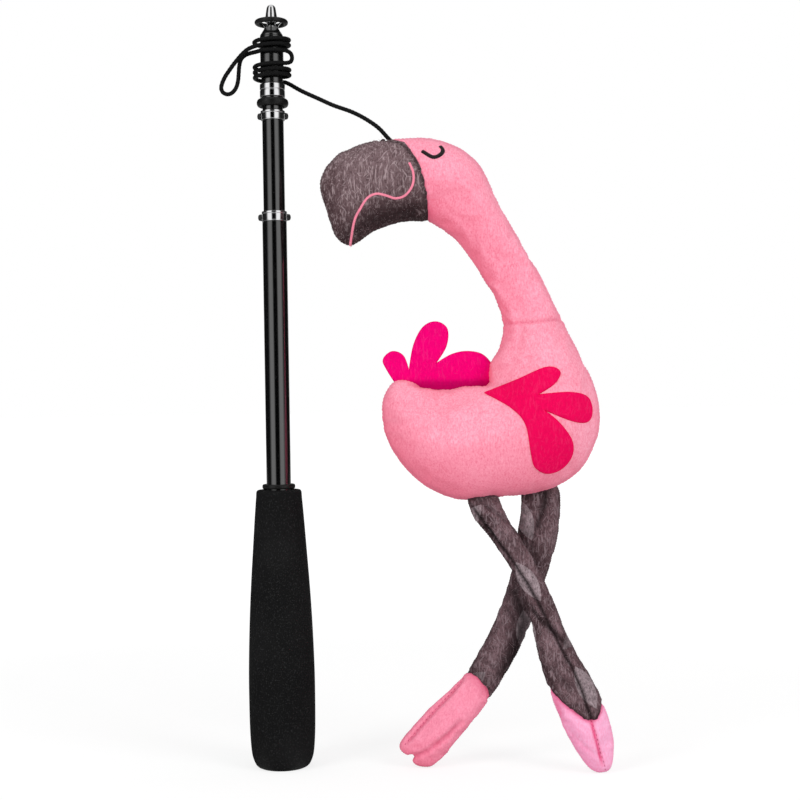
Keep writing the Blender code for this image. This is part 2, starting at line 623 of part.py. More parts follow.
def line_routes():
    """Return the route of each stretch of the line, from the knot to the toy."""
    upper = turns(UPPER_START_ANGLE, UPPER_END_ANGLE, BARREL_BASE + UPPER_TURN_RISE)
    lift = Vector((0, 0, BARREL_BASE))
    crossing = [turn_point(angle, BARREL_BASE + CROSSING_RISE) for angle in (-30, -15, 0, 15, 28)]
    bight = [upper[-1]] + [Vector(point) + lift for point in BIGHT_ROUTE] + crossing[:1]
    arc = [Vector(point) + lift for point in ARC_ROUTE]
    lower = turns(LOWER_START_ANGLE, LOWER_END_ANGLE, BARREL_BASE + LOWER_TURN_RISE)
    start = lower[-1] + Vector((LEAD_START, 0, -LEAD_DROP))
    straight_end = start - Vector((LINE_RADIUS, 0, 0))
    lower_route = crossing + arc + lower + [straight_end.lerp(lower[-1], 0.5), straight_end]
    end = Vector((LEAD_ENTRY[0], TOY_PLANE, LEAD_ENTRY[1]))
    lead = [start]
    for share, rise in LEAD_SAG:
        lead.append(start.lerp(end, share) + Vector((0, 0, rise)))
    lead.append(end)
    return upper, bight, lower_route, lead


def build_line(upper, bight, lower_route, lead):
    """Knot, upper turns, bight, lower turns and the lead to the toy."""
    knot = bmesh.new()
    bmesh.ops.create_uvsphere(knot, u_segments=14, v_segments=8, radius=KNOT_RADIUS * MM)
    turn = math.radians(KNOT_ANGLE)
    reach = BARREL_RADIUS + CLEARANCE + KNOT_RADIUS
    where = (reach * math.sin(turn), -reach * math.cos(turn), upper[0].z + CLEARANCE)
    add_piece("line_knot", mesh_from_bmesh("line_knot", knot), LINE_BLACK, where, tip)

    half_gap = CLEARANCE / 2
    line_stretch("line_upper_turns", upper, 1, tip, 0.0, half_gap)
    bight_points = smooth_route(bight, LINE_STEP)
    line_stretch("line_bight", bight_points, 1, tip, half_gap, half_gap)
    lower_points = smooth_route(lower_route, LINE_STEP)
    line_stretch("line_lower_turns", lower_points, 1, tip, half_gap, CLEARANCE)
    line_stretch("line_lead", smooth_route(lead, LEAD_STEP), 2, toy, 0.0, 0.0, ball_start=True)
    whole = upper + bight_points[1:] + lower_points[1:]
    print(f"least gap between turns of the line: {least_gap(whole):.2f} mm")


def trimmed(sections, trim_first, trim_last):
    """Move the end sections of a form inwards, to leave a gap at a seam."""
    moved = list(sections)
    for index, neighbour, trim in ((0, 1, trim_first), (-1, -2, trim_last)):
        if not trim:
            continue
        end, near = moved[index], moved[neighbour]
        across = (Vector(end.right) - Vector(end.left)).normalized()
        inwards = Vector((-across.y, across.x))
        towards = (Vector(near.left) + Vector(near.right)) - (Vector(end.left) + Vector(end.right))
        if inwards.dot(towards) < 0:
            inwards = -inwards
        left = tuple(Vector(end.left) + inwards * trim)
        right = tuple(Vector(end.right) + inwards * trim)
        moved[index] = end._replace(left=left, right=right)
    return moved


def form_mesh(name, sections, half_depth, origin, sides=FORM_SIDES, swell=0.0):
    """Loft a stuffed form through its sections; swell moves its skin outwards."""
    built = bmesh.new()
    rings = []
    for section in sections:
        left, right = Vector(section.left), Vector(section.right)
        centre = (left + right) / 2
        across = (right - left).normalized()
        half_width = (right - left).length / 2 + swell
        depth = section.depth * half_depth + swell
        ring = []
        for side in range(sides):
            angle = math.tau * side / sides
            cosine, sine = math.cos(angle), math.sin(angle)
            along = math.copysign(abs(cosine) ** (2 / FORM_FULLNESS), cosine) * half_width
            out = math.copysign(abs(sine) ** (2 / FORM_FULLNESS), sine) * depth
            where = Vector((centre.x + across.x * along, section.plane + out, centre.y + across.y * along))
            ring.append(built.verts.new((where - Vector(origin)) * MM))
        rings.append(ring)
    for ring, following in zip(rings, rings[1:]):
        for side in range(sides):
            after = (side + 1) % sides
            built.faces.new((ring[side], ring[after], following[after], following[side]))
    built.faces.new(rings[0])
    built.faces.new(rings[-1])
    return mesh_from_bmesh(name, built)


def body_sections():
    """Sections of the body, from its tail end to its breast."""
    return [Section((x, low), (x, high), depth) for x, low, high, depth in BODY_STATIONS]


def root_sections():
    """Sections of the neck's root, from inside the body to the neck seam."""
    return list(NECK_ROOT_SECTIONS) + [NECK_SEAM]


def body_cutter(name, swell):
    """The whole body with its neck root, swollen, for fitting felt to it."""
    origin = toy["world_mm"]
    core_mesh = form_mesh(name, body_sections(), BODY_HALF_DEPTH, origin, swell=swell)
    root_mesh = form_mesh(name, root_sections(), NECK_HALF_DEPTH, origin, swell=swell)
    core = add_cutter(f"{name}_core", core_mesh, origin)
    root = add_cutter(f"{name}_root", root_mesh, origin)
    add_boolean(core, root, "UNION")
    return core


def felt_prism(name, outline, plane, thickness, finish):
    """A flat felt shape from its outline, upright in the toy's plane."""
    curve = bpy.data.curves.new(name, "CURVE")
    curve.dimensions = "2D"
    curve.fill_mode = "BOTH"
    curve.extrude = thickness / 2 * MM
    spline = curve.splines.new("BEZIER")
    spline.use_cyclic_u = True
    spline.resolution_u = 4
    spline.bezier_points.add(len(outline) - 1)
    origin = Vector(toy["world_mm"])
    for point, (x, z, sharp) in zip(spline.bezier_points, outline):
        point.co = ((x - origin.x) * MM, (z - origin.z) * MM, 0.0)
        handle = "VECTOR" if sharp else "AUTO"
        point.handle_left_type = handle
        point.handle_right_type = handle
    flat = bpy.data.objects.new(name, curve)
    cutters.objects.link(flat)
    flat.rotation_euler = (math.pi / 2, 0.0, 0.0)
    bpy.context.view_layer.update()
    evaluated = flat.evaluated_get(bpy.context.evaluated_depsgraph_get())
    mesh = bpy.data.meshes.new_from_object(evaluated)
    mesh.transform(flat.matrix_world)
    bpy.data.objects.remove(flat)
    built = bmesh.new()
    built.from_mesh(mesh)
    bmesh.ops.remove_doubles(built, verts=built.verts, dist=MERGE)
    solid = mesh_from_bmesh(name, built)
    return add_piece(name, solid, finish, (origin.x, plane, origin.z), toy)


def build_toy_body():
    """Body, neck, head and beak, each stuffed form ending at a seam."""
    origin = toy["world_mm"]
    half_gap = CLEARANCE / 2
    root_form = trimmed(root_sections(), 0.0, half_gap)
    root = add_cutter("neck_root", form_mesh("neck_root", root_form, NECK_HALF_DEPTH, origin), origin)
    body_mesh = form_mesh("toy_body", body_sections(), BODY_HALF_DEPTH, origin)
    body = add_piece("toy_body", body_mesh, PLUSH_PINK, origin, toy)
    add_boolean(body, root, "UNION")

    forms = (
        ("toy_neck", [NECK_SEAM, *NECK_SECTIONS, HEAD_SEAM], NECK_HALF_DEPTH, PLUSH_PINK, half_gap),
        ("toy_head", [HEAD_SEAM, *HEAD_SECTIONS, BEAK_SEAM], HEAD_HALF_DEPTH, PLUSH_PINK, half_gap),
        ("toy_beak", [BEAK_SEAM, *BEAK_SECTIONS], BEAK_HALF_DEPTH, BEAK_TAUPE, 0.0),
    )
    for name, sections, half_depth, finish, end_gap in forms:
        fitted = trimmed(sections, half_gap, end_gap)
        add_piece(name, form_mesh(name, fitted, half_depth, origin), finish, origin, toy)


def build_felt():
    """A felt wing on each side of the body and the felt tail on its back."""
    inner = body_cutter("felt_seat", CLEARANCE)
    outer = body_cutter("felt_face", CLEARANCE + FELT_THICKNESS)
    for name, sign in (("wing_near", -1), ("wing_far", 1)):
        middle = TOY_PLANE + sign * (WING_PRISM_DEPTH / 2 + CLEARANCE)
        wing = felt_prism(name, WING_OUTLINE, middle, WING_PRISM_DEPTH, FELT_MAGENTA)
        add_boolean(wing, outer, "INTERSECT")
        add_boolean(wing, inner, "DIFFERENCE")
    tail = felt_prism("tail_felt", TAIL_OUTLINE, TOY_PLANE, FELT_THICKNESS, FELT_MAGENTA)
    add_boolean(tail, inner, "DIFFERENCE")


def hip_of(sections):
    """Centre of a leg's hip: the middle of its first section."""
    first = sections[0]
    middle = (Vector(first.left) + Vector(first.right)) / 2
    return (middle.x, first.plane, middle.y)


def hip_dome(sections):
    """Sections that round a leg off above its hip, so that it can turn."""
    first = sections[0]
    left, right = Vector(first.left), Vector(first.right)
    middle = (left + right) / 2
    half = (right - left) / 2
    upwards = Vector((-half.y, half.x))
    if upwards.y < 0:
        upwards = -upwards
    dome = []
    for step in range(HIP_DOME_RINGS, 0, -1):
        angle = math.pi / 2 * step / (HIP_DOME_RINGS + 0.25)
        centre = middle + upwards * math.sin(angle)
        reach = half * math.cos(angle)
        depth = first.depth * math.cos(angle)
        dome.append(Section(tuple(centre - reach), tuple(centre + reach), depth, first.plane))
    return dome


def build_leg(prefix, sections, ankle, foot_sections, joint):
    """A stuffed leg from its hip dome to the ankle seam, and its foot."""
    origin = joint["world_mm"]
    half_gap = CLEARANCE / 2
    leg = trimmed([*hip_dome(sections), *sections, ankle], 0.0, half_gap)
    leg_name = f"{prefix}_leg"
    leg_mesh = form_mesh(leg_name, leg, LEG_HALF_DEPTH, origin, LIMB_SIDES)
    add_piece(leg_name, leg_mesh, BEAK_TAUPE, origin, joint)

    seam = ankle._replace(depth=ankle.depth * LEG_HALF_DEPTH / FOOT_HALF_DEPTH)
    foot = trimmed([seam, *foot_sections], half_gap, 0.0)
    foot_name = f"{prefix}_foot"
    foot_mesh = form_mesh(foot_name, foot, FOOT_HALF_DEPTH, origin, LIMB_SIDES)
    piece = add_piece(foot_name, foot_mesh, FOOT_PINK, origin, joint)
    add_boolean(piece, floor, "DIFFERENCE")


def build_floor_cutter():
    """Block whose top is the floor; it cuts the soles flat."""
    block = bmesh.new()
    bmesh.ops.create_cube(block, size=1.0)
    bmesh.ops.scale(block, vec=(8 * FLOOR_CUT * MM, 4 * FLOOR_CUT * MM, FLOOR_CUT * MM), verts=block.verts)
    return add_cutter("floor_block", mesh_from_bmesh("floor_block", block), (0, 0, -FLOOR_CUT / 2))


for old in list(bpy.data.objects):
    bpy.data.objects.remove(old)
parts = make_collection("cat_fishing_rod")
cutters = make_collection("cutters")

routes = line_routes()
pivot = tuple(routes[3][0])
rod = make_joint("rod_frame", (0.0, 0.0, 0.0))
section_2 = make_joint("section_2_slide", (0.0, 0.0, 0.0), rod)
section_3 = make_joint("section_3_slide", (0.0, 0.0, 0.0), section_2)
tip = make_joint("tip_slide", (0.0, 0.0, 0.0), section_3)
toy = make_joint("toy_swing", pivot, tip)
near_hip = make_joint("near_leg_hip", hip_of(NEAR_LEG_SECTIONS), toy)
far_hip = make_joint("far_leg_hip", hip_of(FAR_LEG_SECTIONS), toy)
floor = build_floor_cutter()

build_grip()
build_sections()
build_tip()
build_line(*routes)
build_toy_body()
build_felt()
build_leg("near", NEAR_LEG_SECTIONS, NEAR_ANKLE, NEAR_FOOT_SECTIONS, near_hip)
build_leg("far", FAR_LEG_SECTIONS, FAR_ANKLE, FAR_FOOT_SECTIONS, far_hip)
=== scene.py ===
"""Looks of the telescopic cat fishing rod and the stuffed flamingo on its line.

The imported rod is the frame.  Every piece is built round its nodes, in the same
place, and rides on their bodies.  Sizes are in millimetres, and MM turns them
into metres where a mesh is made.
"""

import logging
import math
from dataclasses import dataclass
from enum import Enum
from functools import partial, reduce

import bmesh
import bpy
import numpy as np
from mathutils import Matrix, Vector, geometry
from mathutils.bvhtree import BVHTree


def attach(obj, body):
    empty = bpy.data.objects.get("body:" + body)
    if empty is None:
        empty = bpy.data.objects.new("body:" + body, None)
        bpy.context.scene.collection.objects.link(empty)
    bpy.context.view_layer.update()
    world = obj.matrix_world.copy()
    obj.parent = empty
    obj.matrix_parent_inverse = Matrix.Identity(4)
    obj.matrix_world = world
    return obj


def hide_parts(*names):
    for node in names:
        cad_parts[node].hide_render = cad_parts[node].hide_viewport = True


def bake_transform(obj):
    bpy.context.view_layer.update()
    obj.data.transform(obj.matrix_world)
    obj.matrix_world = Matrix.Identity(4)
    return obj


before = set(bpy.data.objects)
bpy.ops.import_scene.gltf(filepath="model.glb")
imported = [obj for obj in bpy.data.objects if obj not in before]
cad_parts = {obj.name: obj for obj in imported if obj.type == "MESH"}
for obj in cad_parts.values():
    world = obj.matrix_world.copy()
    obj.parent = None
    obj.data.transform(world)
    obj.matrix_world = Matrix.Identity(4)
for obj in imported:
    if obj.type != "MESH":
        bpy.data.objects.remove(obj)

LOG = logging.getLogger("cat_rod")
MM = 0.001
ALL_SMOOTH = 180.0
WHITE = (1.0, 1.0, 1.0)
Array = np.ndarray
Mesh = bpy.types.Mesh
Node = bpy.types.Node
Piece = bpy.types.Object
Socket = bpy.types.NodeSocket
Tree = bpy.types.NodeTree
Pair = tuple[float, float]
Pairs = tuple[Pair, ...]
Triple = tuple[float, float, float]
Triples = tuple[Triple, ...]


class Body(Enum):
    """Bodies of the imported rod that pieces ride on."""

    HANDLE = "handle"
    SECTION_2 = "section_2"
    SECTION_3 = "section_3"
    TIP = "tip_section"
    TOY = "toy"
    NEAR_LIMB = "near_limb"
    FAR_LIMB = "far_limb"


class Slot(Enum):
    """Material slots that the finishes name."""

    FOAM = "black_foam"
    RUBBER = "black_rubber"
    GLOSS = "black_gloss"
    SATIN = "black_satin"
    CHROME = "chrome"
    LINE = "line_black"
    PLUSH = "plush_pink"
    FOOT = "foot_pink"
    BEAK = "beak_taupe"
    FELT = "felt_magenta"


class Side(Enum):
    """Which face of the toy a piece lies on: the viewer's or the far one."""

    NEAR = -1
    FAR = 1


class Net:
    """A net of nodes that is being wired, with short calls for its nodes."""

    def __init__(self, tree: Tree) -> None:
        """Takes the tree to wire."""
        self.tree = tree

    @classmethod
    def group(cls, name: str, inputs: dict, outputs: dict, kind: str = "ShaderNodeTree") -> tuple:
        """Starts a node group.

        Args:
            name: The group's name.
            inputs: By name, a socket type or a default number, which makes a number socket.
            outputs: Socket types by name.
            kind: The tree's type name.

        Returns:
            The group's net, and its inputs' sockets by name.
        """
        tree = bpy.data.node_groups.new(name, kind)
        for direction, sockets in (("INPUT", inputs), ("OUTPUT", outputs)):
            for label, form in sockets.items():
                number = {float: "Float", int: "Int"}.get(type(form))
                socket = tree.interface.new_socket(label, in_out=direction, socket_type=f"NodeSocket{number or form}")
                if number:
                    socket.default_value = form
        net = cls(tree)
        return net, net.node("NodeGroupInput").outputs

    def close(self, **results: Socket) -> Tree:
        """Feeds the group's outputs and returns its tree."""
        self.node("NodeGroupOutput", results)
        return self.tree

    def feed(self, target: Node, inputs: dict) -> Node:
        """Gives a node its inputs.

        Args:
            target: The node.
            inputs: Values or sockets by name or number; a colour goes without its alpha.

        Returns:
            The node.
        """
        for key, value in inputs.items():
            socket = target.inputs[key]
            if isinstance(value, Socket):
                self.tree.links.new(value, socket)
            else:
                socket.default_value = (*value, 1.0) if socket.type == "RGBA" else value
        return target

    def node(self, kind: str, inputs: dict | None = None, **settings: object) -> Node:
        """Adds a node.

        Args:
            kind: The node's type name; a shader node's goes without ShaderNode.
            inputs: Values or sockets for its inputs, by name or number.
            settings: The node's own properties.

        Returns:
            The new node.
        """
        made = self.tree.nodes.new(kind if "Node" in kind else f"ShaderNode{kind}")
        for name, value in settings.items():
            setattr(made, name, value)
        return self.feed(made, inputs or {})

    def out(self, kind: str, inputs: dict | None = None, **settings: object) -> Socket:
        """Adds a node, as node() does, and returns its first output."""
        return self.node(kind, inputs, **settings).outputs[0]

    def use(self, tree: Tree, inputs: dict) -> object:
        """Places a shader group in this net and returns its outputs by name."""
        return self.node("Group", inputs, node_tree=tree).outputs

    def place(self) -> Socket:
        """Returns the object's own coordinates."""
        return self.node("TexCoord").outputs["Object"]

    def attribute(self, name: str, output: str = "Fac") -> Socket:
        """Returns an attribute of the mesh."""
        return self.node("Attribute", attribute_name=name).outputs[output]

    def math(self, operation: str, *values: object, clamp: bool = False) -> Socket:
        """Returns the result of one arithmetic node."""
        return self.out("Math", dict(enumerate(values)), operation=operation, use_clamp=clamp)

    def plus(self, *values: object, clamp: bool = False) -> Socket:
        """Returns the sum of two values."""
        return self.math("ADD", *values, clamp=clamp)

    def minus(self, *values: object) -> Socket:
        """Returns the first value less the second."""
        return self.math("SUBTRACT", *values)

    def times(self, *values: object, clamp: bool = False) -> Socket:
        """Returns the product of two values."""
        return self.math("MULTIPLY", *values, clamp=clamp)

    def mix(self, share: object, first: object, second: object) -> Socket:
        """Returns the colour between two colours."""
        return self.node("Mix", {0: share, 6: first, 7: second}, data_type="RGBA").outputs[2]

    def ramp(self, share: Socket, *stops: Pair, smooth: bool = False) -> Socket:
        """Returns the greys of a ramp.

        Args:
            share: The socket that runs along the ramp.
            stops: Pairs of a place and a grey value.
            smooth: Whether the ramp eases between its stops.

        Returns:
            The ramp's colour socket.
        """
        made = self.node("ValToRGB", {0: share})
        ramp = made.color_ramp
        ramp.interpolation = "EASE" if smooth else "LINEAR"
        for number, (place, grey) in enumerate(stops):
            stop = ramp.elements[number] if number < 2 else ramp.elements.new(place)
            stop.position = place
            stop.color = (grey, grey, grey, 1.0)
        return made.outputs[0]

    def noise(self, scale: object, detail: float, vector: Socket, stretch: Triple | None = None,
              **more: object) -> Socket:
        """Returns a noise value.

        Args:
            scale: How fine the noise is.
            detail: How many finer layers it has.
            vector: Its coordinates.
            stretch: What they are first multiplied by.
            more: Further inputs of its node.

        Returns:
            The noise's value socket.
        """
        if stretch:
            vector = self.out("Mapping", {"Vector": vector, "Scale": stretch})
        return self.out("TexNoise", {"Vector": vector, "Scale": scale, "Detail": detail, **more})

    def bump(self, height: Socket, strength: float, relief: float) -> Socket:
        """Returns the normal that a height gives, with its relief in millimetres."""
        return self.out("Bump", {"Height": height, "Strength": strength, "Distance": relief * MM})


def rgb(text: str) -> Triple:
    """Returns the linear colour of a hex code as it is seen on a screen."""
    parts = [int(text[at:at + 2], 16) / 255 for at in (0, 2, 4)]
    return tuple(part / 12.92 if part <= 0.04045 else ((part + 0.055) / 1.055) ** 2.4 for part in parts)


class Effects:
    """Shader groups that several finishes share, each built once."""

    def __init__(self) -> None:
        """Builds the groups."""
        self.handling, self.nap = self._handling(), self._nap()
        self.streaks, self.leaves = self._streaks(), self._leaves()

    def _handling(self) -> Tree:
        """Light dust, smears and hairline marks of handling on a hard surface."""
        net, take = Net.group("handling_marks", {"Colour": "Color", "Dust": "Color", "Amount": 0.3, "Roughness": 0.2},
                              {"Colour": "Color", "Roughness": "Float", "Height": "Float"})
        place = net.place()
        specks = net.ramp(net.noise(1900.0, 2.0, place), (0.62, 0.0), (0.74, 1.0))
        lines = net.ramp(net.noise(420.0, 3.0, place, (9.0, 9.0, 0.35)), (0.6, 0.0), (0.72, 1.0))
        shown = net.times(net.math("MAXIMUM", specks, net.times(lines, 0.5)), take["Amount"])
        smears = net.times(net.minus(net.noise(90.0, 4.0, place), 0.45), take["Amount"])
        return net.close(Colour=net.mix(shown, take["Colour"], take["Dust"]), Height=lines,
                         Roughness=net.plus(take["Roughness"], net.times(smears, 0.5), clamp=True))

    def _nap(self) -> Tree:
        """Short pile: fine grain, brushed patches and a darker root between the tufts."""
        net, take = Net.group("cloth_nap", {"Place": "Vector", "Colour": "Color", "Deep": "Color", "Grain": 2400.0,
                                            "Patch": 60.0, "Contrast": 0.35}, {"Colour": "Color", "Height": "Float"})
        place = take["Place"]
        grain = net.noise(take["Grain"], 3.5, place, Roughness=0.75)
        tufts = net.noise(net.times(take["Grain"], 1.3), 2.0, place, (1.0, 1.0, 0.35), Distortion=0.6)
        pile = net.plus(net.times(grain, 0.5), net.times(tufts, 0.5))
        root = net.ramp(pile, (0.36, 1.0), (0.6, 0.0))
        worn = net.ramp(net.noise(take["Patch"], 4.0, place), (0.35, 1.0), (0.65, 0.0), smooth=True)
        shade = net.times(net.plus(net.times(root, 0.85), net.times(worn, 0.15)), take["Contrast"], clamp=True)
        return net.close(Colour=net.mix(shade, take["Colour"], take["Deep"]), Height=pile)

    def _streaks(self) -> Tree:
        """Fine hair-like strokes that cross each other, as on brushed cloth."""
        net, take = Net.group("hair_strokes", {"Place": "Vector", "Scale": 600.0, "Seed": 0.0},
                              {"Mask": "Float", "Dark": "Float"})
        masks, darks = [], []
        for number, (turn, least) in enumerate(((0.06, 0.58), (0.62, 0.63), (-0.75, 0.63), (1.4, 0.65), (-0.2, 0.61))):
            turned_by = net.out("VectorRotate", {"Vector": take["Place"], "Angle": turn}, rotation_type="Y_AXIS")
            moved = net.out("Mapping", {"Vector": turned_by, "Location": (0.37 * number, 0.11 * number, 0.0),
                                        "Scale": (1.0, 0.5, 0.16)})
            lines = net.out("TexNoise", {"Vector": moved, "Scale": take["Scale"], "Detail": 1.0, "Distortion": 0.1,
                                         "W": take["Seed"]}, noise_dimensions="4D")
            masks.append(net.ramp(lines, (least, 0.0), (least + 0.09, 1.0)))
            darks.append(net.ramp(lines, (0.9 - least, 1.0), (1.0 - least, 0.0)))
        greatest = partial(net.math, "MAXIMUM")
        return net.close(Mask=reduce(greatest, masks), Dark=reduce(greatest, darks))

    def _leaves(self) -> Tree:
        """Plain leaf spots scattered over cloth, each with a lighter midrib."""
        net, take = Net.group("leaf_spots", {"Place": "Vector", "Size": 80.0, "Length": 0.43, "Width": 0.17,
                                             "Seed": 0.0}, {"Mask": "Float", "Rib": "Float", "Tone": "Float"})
        flat = net.out("Mapping", {"Vector": take["Place"], "Scale": (1.0, 0.0, 1.0)})
        shift = net.out("CombineXYZ", {"X": take["Seed"], "Z": take["Seed"]})
        scaled = net.out("VectorMath", {0: net.out("VectorMath", {0: flat, 1: shift}), "Scale": take["Size"]},
                         operation="SCALE")
        cells = net.node("TexVoronoi", {"Vector": scaled, "Scale": 1.0, "Randomness": 0.15}).outputs
        local = net.out("VectorMath", {0: scaled, 1: cells["Position"]}, operation="SUBTRACT")
        random = net.node("SeparateColor", {0: cells["Color"]}).outputs
        turn = net.plus(net.times(random[0], 2.0), 0.6)
        axes = net.node("SeparateXYZ", {0: net.out("VectorRotate", {"Vector": local, "Angle": turn},
                                                   rotation_type="Y_AXIS")}).outputs
        along, away = net.math("DIVIDE", axes["X"], take["Length"]), net.math("ABSOLUTE", axes["Z"])
        edge = net.times(net.minus(1.0, net.times(along, along)), take["Width"])
        mask = net.times(net.minus(edge, away), 80.0, clamp=True)
        rib = net.times(net.minus(0.022, away), 60.0, clamp=True)
        return net.close(Mask=mask, Rib=net.times(rib, mask), Tone=random[1])


@dataclass(frozen=True)
class Finish:
    """A material: its name, colours and gloss.  Subclasses wire its details."""

    name: str
    slot: Slot | None
    colour: Triple
    deep: Triple
    roughness: float = 0.5

    def material(self, effects: Effects) -> bpy.types.Material:
        """Returns the finish's material, made once and then shared."""
        made = bpy.data.materials.get(self.name)
        if not made:
            made = bpy.data.materials.new(self.name)
            made.use_nodes = True
            net, shader = Net(made.node_tree), made.node_tree.nodes["Principled BSDF"]
            net.feed(shader, {"Roughness": self.roughness})
            net.feed(shader, self.wire(net, effects))
            made.diffuse_color = (*self.colour, 1.0)
        return made

    def wire(self, net: Net, effects: Effects) -> dict:
        """Wires the finish's own nodes and returns what its shader's inputs get."""
        raise NotImplementedError

    def handled(self, net: Net, effects: Effects, colour: object, dust: Triple, amount: float) -> tuple:
        """Marks a hard surface: returns its shader's colour and roughness, and the height of its scratches."""
        marks = net.use(effects.handling, {"Colour": colour, "Dust": dust, "Amount": amount,
                                           "Roughness": self.roughness})
        return {"Base Color": marks["Colour"], "Roughness": marks["Roughness"]}, marks["Height"]


@dataclass(frozen=True)
class Lacquer(Finish):
    """Black gloss lacquer on a glass-fibre tube, under a clear coat."""

    dust: Triple = (0.28, 0.28, 0.29)
    marks: float = 0.05

    def wire(self, net: Net, effects: Effects) -> dict:
        """Wires the lacquer, its wound fibre, its handling marks and its clear coat."""
        wound = net.node("TexWave", {"Vector": net.place(), "Scale": 260.0, "Distortion": 1.2, "Detail": 2.0},
                         wave_type="BANDS", bands_direction="Z").outputs["Fac"]
        tone = net.mix(net.times(wound, 0.35), self.colour, self.deep)
        marked, scratches = self.handled(net, effects, tone, self.dust, self.marks)
        return {**marked, "Coat Weight": 1.0, "Coat IOR": 1.85, "Coat Roughness": 0.09,
                "Normal": net.bump(scratches, 0.15, 0.01)}


@dataclass(frozen=True)
class Plating(Finish):
    """Bright chrome plating with faint turned lines."""

    marks: float = 0.3

    def wire(self, net: Net, effects: Effects) -> dict:
        """Wires the plating's tone, smears and turned lines."""
        lines = net.noise(1500.0, 2.0, net.place(), (0.05, 0.05, 1.0))
        marked, _ = self.handled(net, effects, self.colour, self.deep, self.marks)
        return {**marked, "Metallic": 1.0, "Normal": net.bump(lines, 0.12, 0.01)}


@dataclass(frozen=True)
class Moulded(Finish):
    """Moulded plastic or rubber with a fine skin."""

    grain: float = 1400.0
    relief: float = 0.02
    specular: float = 0.5
    dust: Triple = (0.2, 0.2, 0.2)
    marks: float = 0.12

    def wire(self, net: Net, effects: Effects) -> dict:
        """Wires the moulding's tone, wear and skin."""
        place = net.place()
        worn = net.ramp(net.noise(180.0, 3.0, place), (0.35, 0.0), (0.7, 1.0))
        marked, _ = self.handled(net, effects, net.mix(worn, self.colour, self.deep), self.dust, self.marks)
        skin = net.bump(net.noise(self.grain, 3.0, place), 0.5, self.relief)
        return {**marked, "Specular IOR Level": self.specular, "Normal": skin}


@dataclass(frozen=True)
class Foam(Finish):
    """Closed-cell foam: small cells, a slight sheen and lighter burst cells."""

    cell: float = 1500.0
    burst: Triple = (0.04, 0.04, 0.041)

    def wire(self, net: Net, effects: Effects) -> dict:
        """Wires the foam's cells and its rubbed patches."""
        place = net.place()
        cells = [net.times(net.out("TexVoronoi", {"Vector": place, "Scale": self.cell * finer}), weight)
                 for finer, weight in ((1.0, 0.6), (2.1, 0.4))]
        rubbed = net.ramp(net.noise(34.0, 5.0, place), (0.4, 0.0), (0.68, 1.0), smooth=True)
        burst = net.ramp(net.noise(self.cell, 3.0, place), (0.55, 0.0), (0.7, 1.0))
        tone = net.mix(net.times(rubbed, 0.5), self.colour, self.deep)
        return {"Base Color": net.mix(net.times(burst, 0.5), tone, self.burst), "Specular IOR Level": 0.12,
                "Roughness": net.ramp(rubbed, (0.0, 0.82), (1.0, 0.64)),
                "Normal": net.bump(net.plus(*cells), 0.7, 0.12)}


@dataclass(frozen=True)
class Braid(Finish):
    """Braided cord: two families of strands that cross, read from its UV map."""

    strands: int = 4
    pitch: float = 1.7

    def wire(self, net: Net, effects: Effects) -> dict:
        """Wires the braid's strands and their fibres, with a painted highlight on the strands' crowns."""
        found = net.node("TexCoord").outputs
        uv = net.node("SeparateXYZ", {0: found["UV"]}).outputs
        around, along = net.times(uv["X"], math.tau * self.strands), net.times(uv["Y"], math.tau / self.pitch)
        strands = net.times(*(net.math("ABSOLUTE", net.math("SINE", net.math(step, around, along)))
                              for step in ("ADD", "SUBTRACT")))
        fibres = net.noise(5200.0, 2.0, found["Object"])
        # Painted highlight: the strands' crowns get the lighter second colour.
        painted_crown_highlight = net.times(net.ramp(strands, (0.25, 0.0), (0.95, 1.0)), net.ramp(fibres, (0.35, 0.2), (0.7, 1.0)))
        return {"Base Color": net.mix(painted_crown_highlight, self.colour, self.deep), "Specular IOR Level": 0.22,
                "Roughness": net.ramp(fibres, (0.3, 0.5), (0.7, 0.72)), "Normal": net.bump(strands, 0.8, 0.16)}


